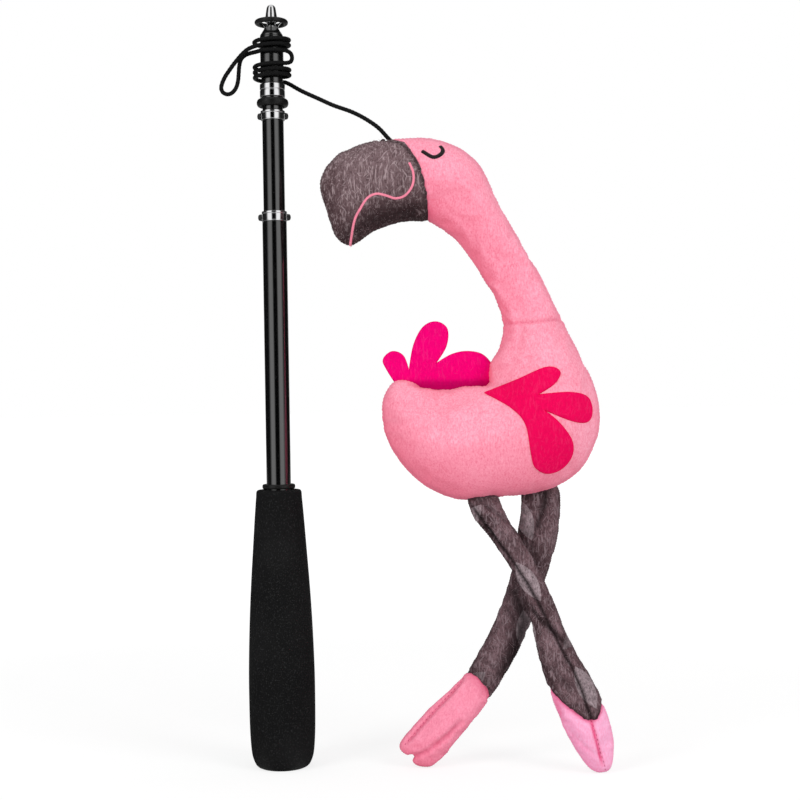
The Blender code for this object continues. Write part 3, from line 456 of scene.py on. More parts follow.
@dataclass(frozen=True)
class Nap(Finish):
    """Short-pile cloth, with a painted shade where it faces down or left and in its creases and seams."""

    crease: Triple = (0.5, 0.1, 0.15)
    grain: float = 1150.0
    patch: float = 55.0
    contrast: float = 0.8
    sheen: float = 0.2
    specular: float = 0.2
    relief: float = 0.3
    depth: float = 0.9
    clouds: float = 0.0
    strokes: float = 0.0
    stroke: Triple = (0.5, 0.4, 0.42)
    leaves: float = 0.0
    leaf: Triple = (0.35, 0.3, 0.31)

    def wire(self, net: Net, effects: Effects) -> dict:
        """Wires the pile, the painted shade of its facing and its creases, and where asked its strokes and leaf spots.
        """
        place = net.attribute("rest", "Vector")
        # Painted shade: the deep attribute mixes in the second colour where the cloth faces down or left.
        ground = net.mix(net.times(net.attribute("deep"), self.depth), self.colour, self.deep)
        if self.clouds:
            patches = net.ramp(net.noise(75.0, 3.0, place, (1.0, 1.0, 0.45)), (0.42, 0.0), (0.68, 1.0))
            ground = net.mix(net.times(patches, self.clouds), ground, self.deep)
        bare = 1.0
        if self.leaves:
            spots = net.use(effects.leaves, {"Place": place, "Size": 40.0, "Seed": 0.013})
            tone = net.mix(net.ramp(spots["Tone"], (0.78, 0.0), (0.8, 0.6)), self.leaf, self.deep)
            shown = net.times(spots["Mask"], self.leaves)
            bare = net.minus(1.0, net.times(shown, 0.8))
            ground = net.mix(net.times(spots["Rib"], 0.5), net.mix(shown, ground, tone), self.stroke)
        root = tuple(0.55 * one + 0.45 * other for one, other in zip(self.deep, self.crease))
        nap = net.use(effects.nap, {"Place": place, "Colour": ground, "Deep": root, "Grain": self.grain,
                                    "Patch": self.patch, "Contrast": self.contrast})
        colour, height = nap["Colour"], nap["Height"]
        if self.strokes:
            hairs = net.use(effects.streaks, {"Place": place, "Scale": 1250.0, "Seed": 3.0})
            darker = net.times(hairs["Dark"], net.times(bare, self.strokes * 0.8))
            colour = net.mix(net.times(hairs["Mask"], self.strokes), net.mix(darker, colour, root), self.stroke)
            height = net.plus(height, net.times(hairs["Mask"], 0.5))
        # Painted shade: the crease attribute darkens creases, seams and the edge towards the crease colour.
        return {"Base Color": net.mix(net.attribute("crease"), colour, self.crease),
                "Specular IOR Level": self.specular, "Sheen Weight": self.sheen,
                "Sheen Tint": tuple(min(1.0, part * 1.2 + 0.15) for part in self.colour),
                "Normal": net.bump(height, 0.7, self.relief)}


@dataclass(frozen=True)
class Thread(Finish):
    """Embroidery thread: a soft gloss along its length and fine plies."""

    sheen: float = 0.3

    def wire(self, net: Net, effects: Effects) -> dict:
        """Wires the thread's plies."""
        plies = net.noise(3800.0, 2.0, net.place())
        return {"Base Color": net.mix(plies, self.deep, self.colour), "Sheen Weight": self.sheen,
                "Roughness": net.ramp(plies, (0.3, 0.45), (0.7, 0.62)), "Normal": net.bump(plies, 0.4, 0.05)}


class Finishes:
    """The finishes of this rod and its toy."""

    FOAM = Foam("grip_foam", Slot.FOAM, (0.0055, 0.0055, 0.0057), (0.01, 0.01, 0.0103), 0.85)
    RUBBER = Moulded("ring_rubber", Slot.RUBBER, (0.004, 0.004, 0.004), (0.008, 0.008, 0.008), 0.36, specular=0.3)
    GLOSS = Lacquer("tube_lacquer", Slot.GLOSS, (0.001, 0.001, 0.0011), (0.003, 0.003, 0.0033), 0.12)
    HUB = Lacquer("hub_satin", Slot.SATIN, (0.003, 0.003, 0.0032), (0.007, 0.007, 0.007), 0.2)
    STUD = Moulded("stud_satin", Slot.SATIN, (0.005, 0.005, 0.0055), (0.01, 0.01, 0.01), 0.3, specular=0.5)
    CHROME = Plating("chrome_plate", Slot.CHROME, (0.86, 0.86, 0.87), (0.62, 0.62, 0.63), 0.07)
    LINE = Braid("line_braid", Slot.LINE, (0.002, 0.002, 0.0021), (0.012, 0.012, 0.013), 0.6)
    # In each cloth finish the second colour is the painted shade that the deep attribute mixes in, which also tints
    # the random patches and pile roots; crease is the painted shade in creases, seams and along the edge.
    PLUSH = Nap("toy_plush", Slot.PLUSH, rgb("FFAFC4"), rgb("FF7F99"), 0.9, crease=rgb("D8486A"), contrast=0.8)
    FOOT = Nap("foot_plush", Slot.FOOT, rgb("FFA0B9"), rgb("F97A97"), 0.9, crease=rgb("C83C64"), contrast=0.6)
    # Painted light: a lighter, pinker copy of the foot plush, with weaker painted shade, for the near foot.
    NEAR_FOOT = Nap("lit_near_foot_plush_pink", Slot.FOOT, rgb("FFBEDF"), rgb("FFA0CA"), 0.9, crease=rgb("E8487F"),
                    contrast=0.6, depth=0.6)
    BEAK = Nap("beak_cloth", Slot.BEAK, rgb("877074"), rgb("452E31"), 0.85, crease=rgb("221517"), contrast=0.75,
               sheen=0.05, clouds=0.25, strokes=0.55, stroke=rgb("BBA7AA"))
    LEG = Nap("leg_cloth", Slot.BEAK, rgb("84696F"), rgb("352124"), 0.85, crease=rgb("120A0B"), contrast=0.8,
              sheen=0.05, clouds=0.8, strokes=0.4, stroke=rgb("A8949A"), leaves=0.85, leaf=rgb("B4A3A8"))
    FELT = Nap("wing_felt", Slot.FELT, rgb("F00858"), rgb("CC0446"), 0.9, crease=rgb("9C0038"), contrast=0.3,
               sheen=0.0, specular=0.05, relief=0.15, strokes=0.1, stroke=rgb("FF5C94"))
    TAIL = Nap("tail_felt_cloth", Slot.FELT, rgb("F20175"), rgb("C80062"), 0.9, crease=rgb("98004C"), contrast=0.3,
               sheen=0.0, specular=0.05, relief=0.15, strokes=0.1, stroke=rgb("FF58A8"))
    MOUTH = Thread("mouth_thread_pink", Slot.PLUSH, rgb("FF9DB4"), rgb("EC7592"), 0.55)
    EYE = Thread("eye_thread_dark", None, rgb("1D0F12"), rgb("0C0506"), 0.6, sheen=0.0)
    STITCH = Thread("stitch_thread", Slot.FOOT, rgb("D6457A"), rgb("A8305C"), 0.6)
    HAIR = Thread("loose_fibre", Slot.BEAK, rgb("A0868B"), rgb("846B70"), 0.7)


def linked(name: str, data: object) -> Piece:
    """Makes an object of its data and puts it in the scene."""
    made = bpy.data.objects.new(name, data)
    bpy.context.scene.collection.objects.link(made)
    return made


def applied(piece: Piece) -> Mesh:
    """Returns a new mesh of the piece as its modifiers leave it, and removes them."""
    mesh = bpy.data.meshes.new_from_object(piece.evaluated_get(bpy.context.evaluated_depsgraph_get()))
    piece.modifiers.clear()
    return mesh


def points_of(mesh: Mesh) -> Array:
    """Returns a mesh's points in metres, one row each."""
    points = np.zeros(len(mesh.vertices) * 3)
    mesh.vertices.foreach_get("co", points)
    return points.reshape(-1, 3)


def circle(count: int) -> Array:
    """Returns the angles of points at even steps round a circle."""
    return np.arange(count) / count * math.tau


def piece_from(name: str, points: Array, faces: list, uvs: list | None = None, sharp: float = ALL_SMOOTH) -> Piece:
    """Makes a piece from points in millimetres.

    Args:
        name: The piece's name.
        points: Its corners, one row each.
        faces: Its faces, as corner numbers.
        uvs: A UV pair for each corner of each face, in order.
        sharp: The angle in degrees past which an edge stays sharp.

    Returns:
        The object, at the origin, with faces outwards and smooth shading.
    """
    mesh = bpy.data.meshes.new(name)
    mesh.from_pydata((np.asarray(points, float) * MM).tolist(), [], faces)
    if uvs:
        layer = mesh.uv_layers.new(name="UVMap")
        layer.data.foreach_set("uv", np.asarray(uvs, np.float32).ravel())
    built = bmesh.new()
    built.from_mesh(mesh)
    bmesh.ops.recalc_face_normals(built, faces=built.faces)
    built.to_mesh(mesh)
    built.free()
    mesh.shade_smooth()
    if sharp < ALL_SMOOTH:
        mesh.set_sharp_from_angle(angle=math.radians(sharp))
    return linked(name, mesh)


def ringed(name: str, rings: Array, wrap: bool = False, sharp: float = ALL_SMOOTH, unit: float = 1.0) -> Piece:
    """Makes a piece from rings of points, each ring closed.

    Args:
        name: The piece's name.
        rings: An array of rings, points and coordinates, in millimetres.
        wrap: Whether the last ring joins the first; otherwise fans close the ends.
        sharp: The angle in degrees past which an edge stays sharp.
        unit: Millimetres along the piece for one unit of its V coordinate.

    Returns:
        The piece, whose U runs round each ring and V from ring to ring.
    """
    count, sides, _ = rings.shape
    centres = rings[:, 0] if wrap else rings.mean(axis=1)
    steps = np.linalg.norm(np.diff(centres, axis=0, append=centres[:1]), axis=1)
    along = np.concatenate([[0.0], np.cumsum(steps)]) / unit
    faces, uvs = [], []
    for row in range(count if wrap else count - 1):
        after = (row + 1) % count
        for side in range(sides):
            beside = (side + 1) % sides
            faces.append((row * sides + side, row * sides + beside, after * sides + beside, after * sides + side))
            left, right = side / sides, (side + 1) / sides
            uvs += [(left, along[row]), (right, along[row]), (right, along[row + 1]), (left, along[row + 1])]
    points = rings.reshape(-1, 3)
    if not wrap:
        points = np.vstack([points, rings[0].mean(axis=0), rings[-1].mean(axis=0)])
        for row, middle in ((0, len(points) - 2), (count - 1, len(points) - 1)):
            for side in range(sides):
                faces.append((row * sides + side, row * sides + (side + 1) % sides, middle))
                uvs += [(side / sides, along[row]), ((side + 1) / sides, along[row]), (side / sides, along[row])]
    return piece_from(name, points, faces, uvs, sharp)


def softened(profile: list, steps: int = 4) -> list[Pair]:
    """Rounds the corners of a profile.

    Args:
        profile: Triples of radius, height and the corner's size; a size of 0 keeps it sharp.
        steps: How many pieces each rounded corner has.

    Returns:
        The rounded profile as pairs of radius and height.
    """
    rounded = []
    for index, (radius, height, corner) in enumerate(profile):
        here = np.array([radius, height])
        if not corner:
            rounded.append((radius, height))
            continue
        sides = []
        for other in (profile[index - 1], profile[(index + 1) % len(profile)]):
            away = np.array(other[:2]) - here
            sides.append(here + away / np.linalg.norm(away) * corner)
        for step in range(steps + 1):
            share = step / steps
            point = (1 - share) ** 2 * sides[0] + 2 * share * (1 - share) * here + share ** 2 * sides[1]
            rounded.append((float(point[0]), float(point[1])))
    return rounded


def turned(name: str, profile: list[Pair], sides: int = 96, solid: bool = False, sharp: float = 40.0) -> Piece:
    """Turns a profile about the rod's axis.

    Args:
        name: The piece's name.
        profile: Pairs of radius and height; a loop, or for a solid a line from end to end.
        sides: How many sides the piece has.
        solid: Whether the profile's ends are closed across the axis.
        sharp: The angle in degrees past which an edge stays sharp.

    Returns:
        The turned piece.
    """
    angles, outline = circle(sides), np.array(profile)
    rings = np.stack([outline[:, :1] * np.cos(angles), outline[:, :1] * np.sin(angles),
                      np.repeat(outline[:, 1:], sides, axis=1)], axis=2)
    return ringed(name, rings, wrap=not solid, sharp=sharp)


def smooth_line(route: Array, step: float, closed: bool = False) -> Array:
    """Runs a smooth curve through a route and cuts it at even steps.

    Args:
        route: The route's points, one row each.
        step: The wanted distance between the new points.
        closed: Whether the last point joins the first.

    Returns:
        The new points; a closed line doesn't repeat its first.
    """
    route = np.asarray(route, float)
    count = len(route)
    spans = count if closed else count - 1
    shares = np.linspace(0, 1, 13)[1:, None]
    dense = [route[:1]]
    for index in range(spans):
        take = [(index + offset) % count if closed else min(max(index + offset, 0), count - 1)
                for offset in (-1, 0, 1, 2)]
        before, start, end, after = (route[number] for number in take)
        dense.append(0.5 * (2 * start + (end - before) * shares
                            + (2 * before - 5 * start + 4 * end - after) * shares ** 2
                            + (3 * start - before - 3 * end + after) * shares ** 3))
    dense = np.vstack(dense)
    return even_line(dense, step, closed)


def even_line(points: Array, step: float, closed: bool = False) -> Array:
    """Cuts a line of points at even steps; a closed line comes with its first point again at its end."""
    lengths = np.concatenate([[0.0], np.cumsum(np.linalg.norm(np.diff(points, axis=0), axis=1))])
    count = max(2, round(lengths[-1] / step))
    wanted = np.linspace(0, lengths[-1], count + 1)
    if closed:
        wanted = wanted[:-1]
    return np.stack([np.interp(wanted, lengths, points[:, axis]) for axis in range(points.shape[1])], axis=1)


def tube_rings(line: Array, radii: Array, sides: int) -> Array:
    """Returns rings of points round a line, without twist from one to the next."""
    ahead = np.gradient(line, axis=0)
    ahead /= np.linalg.norm(ahead, axis=1, keepdims=True)
    across = np.cross(ahead[0], (0.0, 0.0, 1.0) if abs(ahead[0, 2]) < 0.9 else (1.0, 0.0, 0.0))
    angles = circle(sides)
    rings = []
    for point, forward, radius in zip(line, ahead, radii):
        across = across - forward * (across @ forward)
        across /= np.linalg.norm(across)
        up = np.cross(forward, across)
        size = np.atleast_1d(radius)[:, None] if np.ndim(radius) else radius
        rings.append(point + size * (np.cos(angles)[:, None] * across + np.sin(angles)[:, None] * up))
    return np.array(rings)


@dataclass
class Studio:
    """Pale floor, white surroundings, two tall soft lamps and the camera."""

    camera_place: Triple = (57.6, -705.0, 171.0)
    camera_roll: float = 0.934
    lens_angle: float = 2 * math.atan(400 / 1500)
    lamp_power: float = 7.0
    lamp_turn: float = 47.0
    lamp_distance: float = 1.15
    lamp_size: Pair = (0.5, 1.1)
    lamp_aim: Triple = (0.06, 0.0, 0.2)
    daylight: float = 0.5
    floor_reach: float = 20000.0

    def build(self) -> None:
        """Builds the surroundings, the floor, the lamps and the camera."""
        bpy.context.scene.view_settings.view_transform = "Standard"
        camera = linked("camera", bpy.data.cameras.new("camera"))
        camera.data.angle = self.lens_angle
        camera.location = Vector(self.camera_place) * MM
        camera.rotation_euler = (math.radians(90), math.radians(self.camera_roll), 0.0)
        bpy.context.scene.camera = camera
        bpy.context.scene.world = bpy.data.worlds.new("studio")
        self._world(self._started(bpy.context.scene.world))
        self._floor()
        for side in (-1, 1):
            self._lamp(side)
        LOG.info("studio built")

    def _started(self, owner: bpy.types.ID) -> Net:
        """Returns the empty net of a material or a world."""
        owner.use_nodes = True
        owner.node_tree.nodes.clear()
        return Net(owner.node_tree)

    def _rays(self, net: Net) -> tuple[Socket, Socket]:
        """Returns whether gloss sees a place, and whether the camera does, straight or through glass."""
        path = net.node("LightPath").outputs
        return path["Is Glossy Ray"], net.math("MAXIMUM", path["Is Camera Ray"], path["Is Transmission Ray"])

    def _walls(self, net: Net, way: Socket) -> Socket:
        """Returns what gloss sees in a direction: two lit walls at the front, dark flags, a strip at the back."""
        axes = net.node("SeparateXYZ", {0: way}).outputs
        turn = net.math("ABSOLUTE", net.math("ARCTAN2", axes["X"], net.times(axes["Y"], -1.0)))
        return net.ramp(net.math("DIVIDE", turn, math.pi), (0.0, 0.0), (0.09, 0.005), (0.15, 0.95), (0.3, 1.0),
                        (0.42, 0.02), (0.84, 0.005), (0.88, 0.6), (0.92, 0.6), (0.96, 0.005))

    def _world(self, net: Net) -> None:
        """White to the camera, a studio of lamps and dark flags to gloss, daylight to cloth."""
        way = net.node("TexCoord").outputs["Generated"]
        above = net.math("ABSOLUTE", net.node("SeparateXYZ", {0: way}).outputs["Z"])
        room = net.mix(net.ramp(above, (0.72, 0.0), (0.92, 1.0)), self._walls(net, way), (0.75, 0.75, 0.75))
        day, gloss, white = (net.out("Background", {"Color": colour, "Strength": strength}) for colour, strength in
                             ((WHITE, self.daylight), (room, 1.0), (WHITE, 1.0)))
        glossy, seen = self._rays(net)
        shiny = net.out("MixShader", {0: glossy, 1: day, 2: gloss})
        net.node("ShaderNodeOutputWorld", {0: net.out("MixShader", {0: seen, 1: shiny, 2: white})})

    def _floor(self) -> None:
        """Pale floor that is white to the camera and keeps the shadows."""
        reach = self.floor_reach
        floor = piece_from("floor", np.array([(-reach, -reach, 0), (reach, -reach, 0), (reach, reach, 0),
                                              (-reach, reach, 0)]), [(0, 1, 2, 3)])
        made = bpy.data.materials.new("floor_paint")
        net = self._started(made)
        place = net.place()
        lift = net.ramp(net.node("VectorMath", {0: place}, operation="LENGTH").outputs["Value"],
                        (0.0, 0.13), (0.35, 0.16), (0.9, 0.3), (1.0, 0.3))
        room = net.mix(0.25, self._walls(net, place), (0.9, 0.9, 0.9))
        glow, lifted, mirrored = (net.out("Emission", {"Color": colour, "Strength": strength}) for colour, strength in
                                  ((WHITE, 1.0), (lift, 1.0), (room, 0.8)))
        paint = net.out("BsdfDiffuse", {"Color": (0.78, 0.78, 0.78)})
        bright = net.out("AddShader", {0: net.out("MixShader", {0: 0.64, 1: paint, 2: glow}), 1: lifted})
        glossy, seen = self._rays(net)
        mixed = net.out("MixShader", {0: seen, 1: paint, 2: bright})
        net.node("OutputMaterial", {0: net.out("MixShader", {0: glossy, 1: mixed, 2: mirrored})})
        floor.data.materials.append(made)

    def _lamp(self, side: int) -> None:
        """Adds a tall soft lamp at the front, left or right."""
        lamp = linked(f"lamp_{side}", bpy.data.lights.new(f"lamp_{side}", "AREA"))
        lamp.data.shape = "RECTANGLE"
        lamp.data.size, lamp.data.size_y = self.lamp_size
        lamp.data.energy = self.lamp_power
        turn, aim = math.radians(self.lamp_turn), Vector(self.lamp_aim)
        lamp.location = aim + Vector((side * math.sin(turn), -math.cos(turn), 0.35)) * self.lamp_distance
        lamp.rotation_mode = "QUATERNION"
        lamp.rotation_quaternion = (aim - lamp.location).to_track_quat("-Z", "Y")
        lamp.visible_glossy = False


class Workshop:
    """What every sub-assembly uses to dress its pieces and put them on a body."""

    def __init__(self) -> None:
        """Builds the shared shader groups."""
        self.effects = Effects()

    def dress(self, piece: Piece, finish: Finish) -> Piece:
        """Gives a piece its finish."""
        piece.data.materials.append(finish.material(self.effects))
        return piece

    def finished(self, piece: Piece, finish: Finish, body: Body, *nodes: str) -> Piece:
        """Dresses a piece, puts it on its body and hides the nodes it stands for."""
        self.dress(piece, finish)
        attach(piece, body.value)
        if nodes:
            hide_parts(*nodes)
        LOG.info("%s: %d faces on %s", piece.name, len(piece.data.polygons), body.value)
        return piece

    def turn(self, name: str, profile: list, finish: Finish, body: Body, *nodes: str, steps: int = 3,
             **form: object) -> Piece:
        """Softens a profile, turns it about the rod's axis and finishes the piece."""
        return self.finished(turned(name, softened(profile, steps), **form), finish, body, *nodes)


def hoop(radius: float, height: float, wide: float, tall: float, count: int) -> list[Pair]:
    """Returns the round or oval profile of a ring about the rod's axis."""
    return [(radius + wide * math.cos(turn), height + tall * math.sin(turn)) for turn in circle(count)]


@dataclass
class Handle:
    """Foam grip, its rubber end cap and ring, and the butt tube."""

    grip_profile: Pairs = (
        (10.8, 0.0), (12.35, 0.9), (13.5, 3.0), (14.4, 6.0), (14.95, 11.0), (15.33, 19.0), (15.47, 31.0),
        (15.45, 43.0), (15.1, 57.0), (14.5, 72.0), (13.65, 87.0), (12.6, 102.0), (11.6, 116.0), (10.75, 126.5),
    )
    grip_top: float = 129.9
    grip_bore: float = 6.025
    cap_pocket: float = 7.8
    cap_depth: float = 3.3
    cap_radius: float = 7.5
    plug_radius: float = 5.05
    plug_top: float = 9.5
    ring: tuple[float, float, float] = (130.2, 132.5, 7.7)
    tube_radius: float = 5.725
    tube_bore: float = 5.35
    tube_span: Pair = (3.3, 255.5)

    def build(self, shop: Workshop) -> None:
        """Builds the handle's pieces."""
        outer = smooth_line(np.array(self.grip_profile), 1.1)[::-1]
        top = softened([(self.grip_bore, self.grip_top, 0.5), (10.6, self.grip_top, 1.6), (10.75, 126.0, 0)], 6)
        inner = [(self.cap_pocket, 0.0), (self.cap_pocket, self.cap_depth), (self.grip_bore, self.cap_depth),
                 (self.grip_bore, 60.0)]
        profile = top[:-1] + [tuple(point) for point in outer] + inner
        sleeve = shop.finished(turned("grip_sleeve", profile), Finishes.FOAM, Body.HANDLE, "foam_grip")
        plug, rim = self.plug_radius, self.cap_radius
        cap = [(plug - 0.6, self.plug_top), (plug, self.plug_top - 0.6), (plug, 3.0), (rim - 0.3, 3.0), (rim, 2.7),
               (rim, 0.3), (rim - 0.3, 0.0)]
        ribs = [(radius + out, rise) for radius in (6.4, 5.0, 3.6, 2.2)
                for out, rise in ((0.5, 0.0), (0.3, 0.45), (-0.3, 0.45), (-0.5, 0.0))]
        shop.finished(turned("end_cap", cap + ribs, 64, solid=True), Finishes.RUBBER, Body.HANDLE, "butt_cap")
        low, high, radius = self.ring
        shop.turn("neck_ring", [(6.1, high, 0.2), (radius, high, 0.9), (radius, low, 0.9), (6.1, low, 0.2)],
                  Finishes.RUBBER, Body.HANDLE, "grip_check_ring", steps=6, sides=80)
        low, high = self.tube_span
        shop.turn("butt_section", [(self.tube_bore, high, 0.1), (self.tube_radius, high, 0.12),
                                   (self.tube_radius, low, 0), (self.tube_bore, low, 0)],
                  Finishes.GLOSS, Body.HANDLE, "butt_tube")


@dataclass
class Ferrule:
    """Chrome ring on a tube's mouth, with a dark stud on each side."""

    prefix: str
    body: Body
    low: float
    high: float
    radius: float
    bore: float
    bead: float = 0.12
    lip: float = 0.9
    stud_rise: float = 1.9
    stud_reach: float = 1.8
    stud_size: Pair = (1.2, 1.6)
    stud_profile: Pairs = (
        (0.0, 1.0), (0.35, 1.0), (0.45, 0.93), (0.62, 0.93), (0.8, 0.8), (0.93, 0.55), (1.0, 0.2))

    def build(self, shop: Workshop) -> None:
        """Builds the ring and its studs."""
        top, waist, foot = self.radius + self.bead, self.radius - 0.12, self.radius + self.bead * 0.5
        under = self.high - self.lip
        shop.turn(f"{self.prefix}_mouth", [
            (self.bore, self.high, 0.1), (top, self.high, 0.18), (top, under, 0.15), (waist, under - 0.15, 0.1),
            (waist, self.low + 0.5, 0.1), (foot, self.low + 0.35, 0.1), (foot, self.low, 0.12),
            (self.bore, self.low, 0.1)], Finishes.CHROME, self.body, f"{self.prefix}_ferrule")
        for side, sign in (("left", -1), ("right", 1)):
            self._stud(shop, side, sign)

    def _stud(self, shop: Workshop, side: str, sign: int) -> None:
        """Builds a domed stud that is seated on the ring."""
        angles, (wide, tall) = circle(32), self.stud_size
        rings = [np.stack([np.full(32, sign * (self.radius + 0.05 + out * self.stud_reach)),
                           wide * size * np.cos(angles),
                           self.low + self.stud_rise + tall * size * np.sin(angles)], axis=1)
                 for out, size in self.stud_profile]
        shop.finished(ringed(f"{self.prefix}_button_{side}", np.array(rings), sharp=50.0), Finishes.STUD, self.body,
                      f"{self.prefix}_stud_{side}")


@dataclass
class Sections:
    """Second and third sections, their rings and the stop ring."""

    foot: float = 9.8
    bores: Pair = (4.675, 4.0)
    stop: tuple[float, ...] = (6.275, 311.4, 1.175, 1.8)

    def build(self, shop: Workshop) -> None:
        """Builds the sliding sections from the widest to the thinnest."""
        foot, (second, third) = self.foot, self.bores
        Ferrule("butt", Body.HANDLE, 255.8, 260.4, 5.825, 5.35).build(shop)
        Ferrule("section_2", Body.SECTION_2, 303.3, 307.6, 5.45, second, bead=0.3).build(shop)
        shop.turn("second_section", [(second, 303.0, 0.1), (5.05, 303.0, 0.12), (5.05, foot, 0.1),
                                     (second, foot, 0.1)], Finishes.GLOSS, Body.SECTION_2, "section_2_tube")
        shop.turn("third_section", [(third, 320.1, 0.1), (4.8, 320.1, 0.15), (4.8, 307.9, 0.15), (4.375, 307.9, 0.1),
                                    (4.375, foot, 0.1), (third, foot, 0.1)],
                  Finishes.GLOSS, Body.SECTION_3, "section_3_tube")
        shop.turn("third_mouth", [
            (5.1, 320.1, 0.1), (5.9, 320.1, 0.25), (5.9, 317.7, 0.12), (5.72, 317.5, 0.08), (5.72, 317.2, 0.08),
            (5.9, 317.0, 0.12), (5.9, 314.1, 0.25), (5.1, 314.1, 0.1)],
            Finishes.CHROME, Body.SECTION_3, "section_3_band")
        shop.finished(turned("rest_ring", hoop(*self.stop, count=28)), Finishes.RUBBER, Body.SECTION_3, "stop_ring")


@dataclass
class TipHub:
    """Tip rod, the hub that the line is wound on, the cone, the tip and its ring."""

    ring_radius: float = 6.7
    wire_radius: float = 1.15
    ring_height: float = 349.3

    def build(self, shop: Workshop) -> None:
        """Builds the tip section's hard pieces."""
        shop.turn("tip_core", [(3.7, 342.5, 0.2), (3.7, 9.8, 0.3)], Finishes.GLOSS, Body.TIP, "tip_rod",
                  sides=64, solid=True)
        for name, bore, radius, low, high, corner, node in (
                ("hub_foot", 4.0, 5.1, 320.4, 325.0, 0.2, "hub_sleeve"),
                ("hub_drum", 4.0, 5.45, 325.3, 342.5, 0.3, "hub_barrel")):
            shop.turn(name, [(bore, high, 0.1), (radius, high, corner), (radius, low, corner), (bore, low, 0.1)],
                      Finishes.HUB, Body.TIP, node)
        shop.turn("hub_nose", [(2.9, 347.1, 0.3), (5.3, 343.3, 0.3), (5.45, 342.5, 0.1)], Finishes.HUB, Body.TIP,
                  "hub_cone", steps=4, solid=True)
        shop.turn("tip_top", [
            (0.5, 357.6, 0.1), (1.35, 357.35, 0.5), (2.0, 356.5, 0.6), (2.45, 354.0, 0.8), (2.65, 352.4, 0.5),
            (3.1, 350.7, 0.4), (3.1, 350.1, 0.3), (2.15, 349.4, 0.3), (2.1, 347.1, 0.1)],
            Finishes.CHROME, Body.TIP, "tip_cap", steps=4, solid=True)
        ring = hoop(self.ring_radius, self.ring_height, self.wire_radius, self.wire_radius, 24)
        shop.finished(turned("line_guide", ring), Finishes.RUBBER, Body.TIP, "guide_ring")
        self._bracket(shop)

    def _bracket(self, shop: Workshop) -> None:
        """Builds the chrome collar whose two arms and two legs carry the ring."""
        collar = turned("guide_bracket", softened([(2.6, 350.3, 0.15), (3.35, 350.3, 0.2), (3.35, 349.8, 0.2),
                                                   (2.6, 349.8, 0.15)], 3), 72)
        wide, tall = np.array([(-1, -1), (-0.6, -1.15), (0.6, -1.15), (1, -1), (1, 1), (0.6, 1.15), (-0.6, 1.15),
                               (-1, 1)], float).T
        for sign in (-1, 1):
            arm = [np.stack([wide * half, np.full(8, sign * reach), self.ring_height + 0.5 + tall * 0.3], axis=1)
                   for reach, half in ((3.1, 0.9), (3.9, 0.7), (4.8, 0.65), (5.7, 0.8))]
            leg = [np.stack([sign * (reach + tall * 0.45), wide * 0.9, np.full(8, height)], axis=1)
                   for reach, height in ((2.7, 346.9), (3.1, 347.9), (3.9, 348.8), (5.3, 349.5))]
            for rows in (arm, leg):
                collar = joined(collar, ringed("bracket_part", np.array(rows), sharp=40.0))
        shop.finished(collar, Finishes.CHROME, Body.TIP, "ring_bracket")


def joined(first: Piece, second: Piece) -> Piece:
    """Adds the second piece's mesh to the first and removes the second."""
    built = bmesh.new()
    built.from_mesh(first.data)
    built.from_mesh(second.data)
    built.to_mesh(first.data)
    built.free()
    bpy.data.objects.remove(second)
    return first


